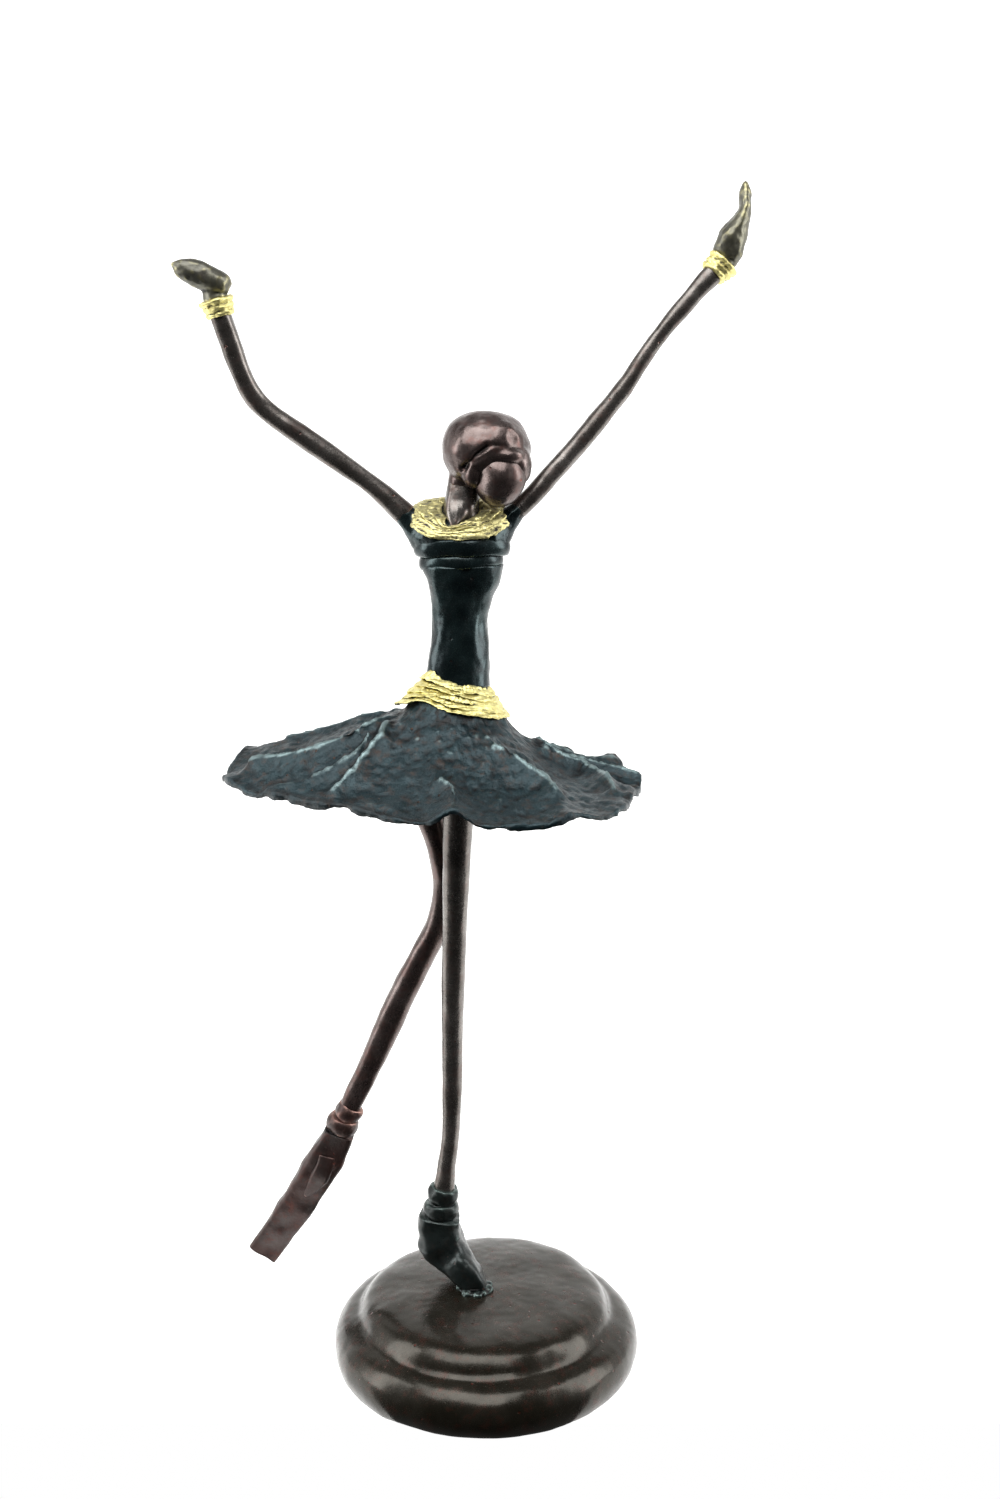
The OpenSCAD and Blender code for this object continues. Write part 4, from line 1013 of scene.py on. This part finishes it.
def collar_place(number, rag, k, share, proud):
    """Place on one of the collar's layers."""
    a, out = way_out(k, COLLAR_SIDES)
    low, high = (number - 1) / 4, number / 4
    front = (1 - math.sin(a)) / 2
    across = min(low + (high - low) * share, 1.0)
    # The inner edge meets the neck, and dips to a point at the throat
    throat = hump(math.degrees(a), 256, 18)
    t = (2.75 - 1.5 * front ** 2) * (1 - across) + (4.95 - 1.2 * throat) * across
    t += rag * 0.34 * ripple(out, (1.2, 3.1, number * 1.9), (0.7, 8, number * 2.9 + share),
                             (0.3, 20, number * 3.7))
    streak = ripple(out, (0.45, 2.4, across * 22 + number * 4.3))
    height = proud * (1 + ripple(out, (0.3, 4, number * 4.3)) + streak)
    height *= 1 - 0.5 * throat * across
    return yoke_place(min(t, 4.97), a) + yoke_normal(min(t, 4.9), a) * height


class DANCER_OT_collar(bpy.types.Operator):
    """Lay the four ragged brass strips of the collar over the shoulders"""

    bl_idname = "dancer.collar"
    bl_label = "Collar"

    def execute(self, context):
        rag = context.scene.dancer_casting.rag / MM
        for number in range(1, 5):
            bm = bmesh.new()
            loft(bm, COLLAR_SIDES, COLLAR_SECTION, functools.partial(collar_place, number, rag))
            close_loft(bm, cuts=1)
            weather(bm, ((0.16, 1.6), (0.08, 0.7)), seed=21 + number * 2.7)
            finish_piece(f"collar_layer_{number}", bm, filed_brass("dull filed brass", "#75682a", 0.84),
                         f"collar_strip_{number}", reach=0.25)
        return {"FINISHED"}


# ---- Head ----


class DANCER_OT_head(bpy.types.Operator):
    """Shape the smooth egg of the face and the hair cap round it"""

    bl_idname = "dancer.head"
    bl_label = "Head"

    def execute(self, context):
        # The face is a plain egg, blunt at the chin, with a bevelled edge on the dancer's right cheek
        face = egg((4.0, -5.4, 229.9), 6.6, 6.2, 7.4, 0.04)
        for v in face.verts:
            v.co.x = 4.0 + (v.co.x - 4.0) * (1 + 0.05 * math.cos(math.radians(90 * (v.co.z - 229.9) / 7.4)))
        press(face, (((-0.6, -10.4, 229.5), 4.5, -0.5), ((4.2, -12.0, 226.5), 4.0, -0.25)))
        weather(face, ((0.25, 5.0), (0.05, 1.6)), seed=23.0)
        finish_piece("face_casting", face, finish("russet"), "face", reach=0.8)

        hair = egg((0.4, 0.3, 237.4), 11.9, 11.9, 10.2, 0.02)
        stub = sweep(((-5.3, 0.2, 227.6, 4.4, 4.4), (-4.0, 0.2, 233.4, 4.8, 4.8)), sides=48, spacing=0.6)
        # Locks that frame the face on both sides, and the brow band over it
        add_ball(hair, (9.2, -4.2, 234.0), 4.2, (0.75, 1.1, 1.3))
        add_ball(hair, (-2.6, -6.0, 231.6), 3.6, (0.8, 1.1, 1.2))
        add_ball(hair, (4.4, -7.6, 235.8), 4.0, (1.6, 0.95, 0.7))
        hair = melt(join(hair, stub), 0.36, 6)
        weather(hair, ((0.8, 9.0), (0.22, 3.2), (0.05, 1.3)), seed=25.0)
        # Deep crease that starts at the temple and dies away over the brow
        score(hair, ((-5.4, -9.0, 232.6), (-3.9, -9.9, 234.0), (-2.0, -11.2, 236.0), (0.9, -11.8, 238.2)),
              0.75, -1.1)
        score(hair, ((0.9, -11.8, 238.2), (2.7, -11.6, 238.6), (6.0, -10.8, 238.4)), 0.6, -0.55)
        score(hair, ((-2.4, -11.0, 234.2), (1.0, -12.0, 236.2), (5.0, -11.6, 237.3)), 0.5, -0.35)
        press(hair, (((7.3, -8.8, 240.6), 2.2, -0.35), ((-1.5, -9.6, 241.0), 5.0, -0.5),
                     ((5.5, -8.5, 243.0), 4.0, 0.4), ((-6.0, -8.0, 238.0), 4.5, 0.35)))
        finish_piece("hair_casting", hair, finish("russet"), "hair_cap", reach=0.8)
        return {"FINISHED"}


# ---- Arms, bracelets and hands ----


class DANCER_OT_arms(bpy.types.Operator):
    """Sweep both raised arms"""

    bl_idname = "dancer.arms"
    bl_label = "Arms"

    def execute(self, context):
        for side, stations, seed in (("right", RIGHT_ARM, 27.0), ("left", LEFT_ARM, 29.0)):
            start = Vector(stations[0][:3])
            away = (start - Vector(stations[1][:3])).normalized()
            end, on = outer_end(stations)
            arm = sweep(((*(start + away * 1.5), 2.8, 2.8), *stations, (*(end + on * 1.5), 2.6, 2.6)),
                        spacing=0.7, squareness=0.15)
            weather(arm, ((0.45, 13.0), (0.22, 4.0), (0.07, 1.5)), seed=seed, stretch=(0.6, 1, 0.6))
            finish_piece(f"{side}_arm_casting", arm, finish("limb"), f"{side}_arm")
        return {"FINISHED"}


class DANCER_OT_bracelets(bpy.types.Operator):
    """Turn the two flared brass cuffs"""

    bl_idname = "dancer.bracelets"
    bl_label = "Bracelets"

    def execute(self, context):
        profile = outline([(r * BRACELET_R, h * BRACELET_W) for r, h in (
            (0.5, 0.0), (0.82, 0.0), (0.96, 0.15), (0.92, 0.30), (1.04, 0.47), (0.99, 0.64), (1.14, 0.83),
            (1.05, 0.97), (0.5, 1.0))], 0.25)
        for side, stations, seed in (("right", RIGHT_ARM, 31.0), ("left", LEFT_ARM, 37.0)):
            cuff = lathe(profile, 96, closed=True)
            weather(cuff, ((0.5, 3.0), (0.25, 1.2), (0.12, 0.6)), seed=seed, stretch=(0.6, 0.6, 1.4))
            bmesh.ops.transform(cuff, matrix=seat(*outer_end(stations)), verts=cuff.verts)
            finish_piece(f"{side}_cuff", cuff, filed_brass(), f"{side}_bracelet", reach=0.4)
        return {"FINISHED"}


class DANCER_OT_hands(bpy.types.Operator):
    """Sweep the paddle of the right hand and the upright left hand"""

    bl_idname = "dancer.hands"
    bl_label = "Hands"

    def execute(self, context):
        # Stations of a hand: place from the bracelet's outer edge, half width, half depth
        for side, arm, seed, stations in (
                ("right", RIGHT_ARM, 41.0, (
                    (3.9, -0.1, 2.4, 1.2, 1.2), (2.6, -0.3, 3.0, 2.7, 2.8), (0.2, -0.8, 4.0, 3.3, 3.4),
                    (-3.2, -1.5, 5.4, 3.5, 3.4), (-6.4, -2.2, 6.7, 3.0, 2.8), (-8.8, -2.7, 7.6, 1.9, 1.8),
                    (-9.9, -2.95, 8.0, 0.8, 0.8))),
                ("left", LEFT_ARM, 43.0, (
                    (0.6, 0, 0.9, 3.3, 3.2), (1.0, 0, 2.6, 4.0, 3.8), (1.9, 0, 5.9, 3.8, 4.2),
                    (4.0, 0.1, 10.4, 2.5, 3.9), (5.0, 0.2, 13.4, 1.7, 3.4), (5.0, 0.2, 17.0, 1.6, 2.6),
                    (5.0, 0.2, 19.2, 0.7, 1.4)))):
            end, way = outer_end(arm)
            base = end + way * BRACELET_W
            blade = sweep([(*(base + Vector(s[:3])), s[3], s[4]) for s in stations], spacing=0.4, tip=0.8)
            stub = sweep(((*(base - way * 0.4), 3.2, 3.2), (*(base + way * 3.2), 2.7, 2.7)),
                         sides=40, spacing=0.5)
            hand = melt(join(blade, stub), 0.3, 4)
            weather(hand, ((0.4, 4.0), (0.15, 1.4)), seed=seed)
            finish_piece(f"{side}_hand_casting", hand, finish("hand"), f"{side}_hand")
        return {"FINISHED"}


# ---- Fixings that stay as they are ----


class DANCER_OT_fixings(bpy.types.Operator):
    """Give the stud, its washer and the hip core their finishes"""

    bl_idname = "dancer.fixings"
    bl_label = "Fixings"

    def execute(self, context):
        for node, material in (
                ("toe_pin", filed_brass()), ("pin_washer", zinc_steel()), ("hip_core", finish("cloth"))):
            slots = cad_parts[node].data.materials
            slots.clear()
            slots.append(material)
        return {"FINISHED"}


# ---- Studio ----


CAMERA_PLACE = (0.0042, -0.426, 0.2554)
CAMERA_TILT = math.radians(79.8)
LENS_MM, SENSOR_MM = 38.19, 36.0
LIGHTS_AIM = Vector((0, 0, 0.17))
PAPER_W = 4.4
PAPER_BEND = 0.5


class DANCER_OT_studio(bpy.types.Operator):
    """Stand the object on a pale sweep in soft light and set the camera"""

    bl_idname = "dancer.studio"
    bl_label = "Studio"

    def execute(self, context):
        scene = context.scene
        light = scene.dancer_studio
        sheet = bmesh.new()
        profile = [(-0.035, 0.0), (1.1, 0.0)]
        profile += [(1.1 + PAPER_BEND * math.sin(a), PAPER_BEND - PAPER_BEND * math.cos(a))
                    for a in (math.radians(d) for d in range(10, 91, 10))]
        profile += [(1.6, 2.4)]
        verts = [sheet.verts.new((-PAPER_W / 2, y, z)) for y, z in profile]
        edges = [sheet.edges.new(pair) for pair in zip(verts, verts[1:])]
        made = bmesh.ops.extrude_edge_only(sheet, edges=edges)["geom"]
        bmesh.ops.translate(sheet, vec=(PAPER_W, 0, 0),
                            verts=[g for g in made if isinstance(g, bmesh.types.BMVert)])
        mesh = bpy.data.meshes.new("paper_sweep")
        sheet.to_mesh(mesh)
        sheet.free()
        mesh.shade_smooth()
        sweep_paper = bpy.data.objects.new("paper_sweep", mesh)
        scene.collection.objects.link(sweep_paper)
        # Matt white background paper, lit through
        paper, tree, shader = blank_material("matt white paper")
        feed(tree, shader, {
            "Base Color": rgba("#f6f6f4"), "Roughness": 0.9, "Specular IOR Level": 0.1,
            "Emission Color": rgba("#ffffff"), "Emission Strength": 0.9})
        mesh.materials.append(paper)

        for name, place, size, power in (
                ("overhead panel", (-0.12, -0.45, 0.95), (0.9, 0.75), light.key),
                ("left panel", (-0.75, -0.12, 0.42), (0.35, 0.8), light.side),
                ("right panel", (0.75, -0.08, 0.46), (0.35, 0.8), light.side)):
            lamp = bpy.data.lights.new(name, "AREA")
            lamp.shape = "RECTANGLE"
            lamp.size, lamp.size_y = size
            lamp.energy = power
            panel = bpy.data.objects.new(name, lamp)
            panel.location = place
            panel.rotation_euler = (LIGHTS_AIM - Vector(place)).to_track_quat("-Z", "Y").to_euler()
            scene.collection.objects.link(panel)

        # Pale walls, with a dark ceiling, a dark floor and a dark side where the camera works
        world = bpy.data.worlds.new("pale room")
        scene.world = world
        world.use_nodes = True
        tree = world.node_tree
        way = add(tree, "TexCoord").outputs["Generated"]
        axes = add(tree, "SeparateXYZ", {"Vector": way})
        soft = {"interpolation_type": "SMOOTHSTEP"}
        dim = add(tree, "MapRange", {"Value": axes.outputs["Y"], "From Min": -0.75, "From Max": -0.05}, **soft)
        roof = add(tree, "MapRange", {
            "Value": axes.outputs["Z"], "From Min": 0.42, "From Max": 0.68, "To Min": 1.0,
            "To Max": 0.12}, **soft)
        ground = add(tree, "MapRange", {
            "Value": axes.outputs["Z"], "From Min": -0.30, "From Max": -0.02, "To Min": 0.15}, **soft)
        level = add(tree, "Math", {0: ground, 1: roof}, operation="MULTIPLY")
        walls = add(tree, "Math", {0: dim, 1: level}, operation="MULTIPLY")
        seen = add(tree, "LightPath").outputs["Is Camera Ray"]
        both = add(tree, "Math", {0: walls, 1: seen}, operation="MAXIMUM")
        tone = add(tree, "Mix", {"Factor": both, "A": rgba("#1a1c1c"), "B": rgba("#ffffff")}, data_type="RGBA")
        feed(tree, tree.nodes["Background"], {"Color": tone, "Strength": light.room})

        scene.view_settings.view_transform = "Standard"
        lens = bpy.data.cameras.new("camera")
        lens.sensor_fit = "VERTICAL"
        lens.sensor_width = lens.sensor_height = SENSOR_MM
        lens.lens = LENS_MM
        camera = bpy.data.objects.new("camera", lens)
        camera.location = CAMERA_PLACE
        camera.rotation_euler = (CAMERA_TILT, 0.0, 0.0)
        scene.collection.objects.link(camera)
        scene.camera = camera
        return {"FINISHED"}


# ---- Panel and registration ----

STEPS = (
    DANCER_OT_studio, DANCER_OT_plinth, DANCER_OT_standing_leg, DANCER_OT_free_leg, DANCER_OT_skirt,
    DANCER_OT_belt, DANCER_OT_bodice, DANCER_OT_shoulders, DANCER_OT_collar, DANCER_OT_head, DANCER_OT_arms,
    DANCER_OT_bracelets, DANCER_OT_hands, DANCER_OT_fixings)
GROUPS = {"dancer_casting": DancerCasting, "dancer_finish": DancerFinish, "dancer_studio": DancerStudio}


class DANCER_PT_panel(bpy.types.Panel):
    """Lists the sizes, colours and steps of the statuette"""

    bl_idname = "DANCER_PT_panel"
    bl_label = "Cast dancer"
    bl_space_type = "VIEW_3D"
    bl_region_type = "UI"
    bl_category = "Dancer"

    def draw(self, context):
        for name, group in GROUPS.items():
            box = self.layout.box()
            for key in group.__annotations__:
                box.prop(getattr(context.scene, name), key)
        for step in STEPS:
            self.layout.operator(step.bl_idname)


def register():
    for kind in (*GROUPS.values(), *STEPS, DANCER_PT_panel):
        bpy.utils.register_class(kind)
    for name, group in GROUPS.items():
        setattr(bpy.types.Scene, name, PointerProperty(type=group))


def unregister():
    for name in GROUPS:
        delattr(bpy.types.Scene, name)
    for kind in (DANCER_PT_panel, *reversed(STEPS), *reversed(GROUPS.values())):
        bpy.utils.unregister_class(kind)


def main():
    register()
    for step in STEPS:
        group, action = step.bl_idname.split(".")
        getattr(getattr(bpy.ops, group), action)()


if __name__ == "__main__":
    main()
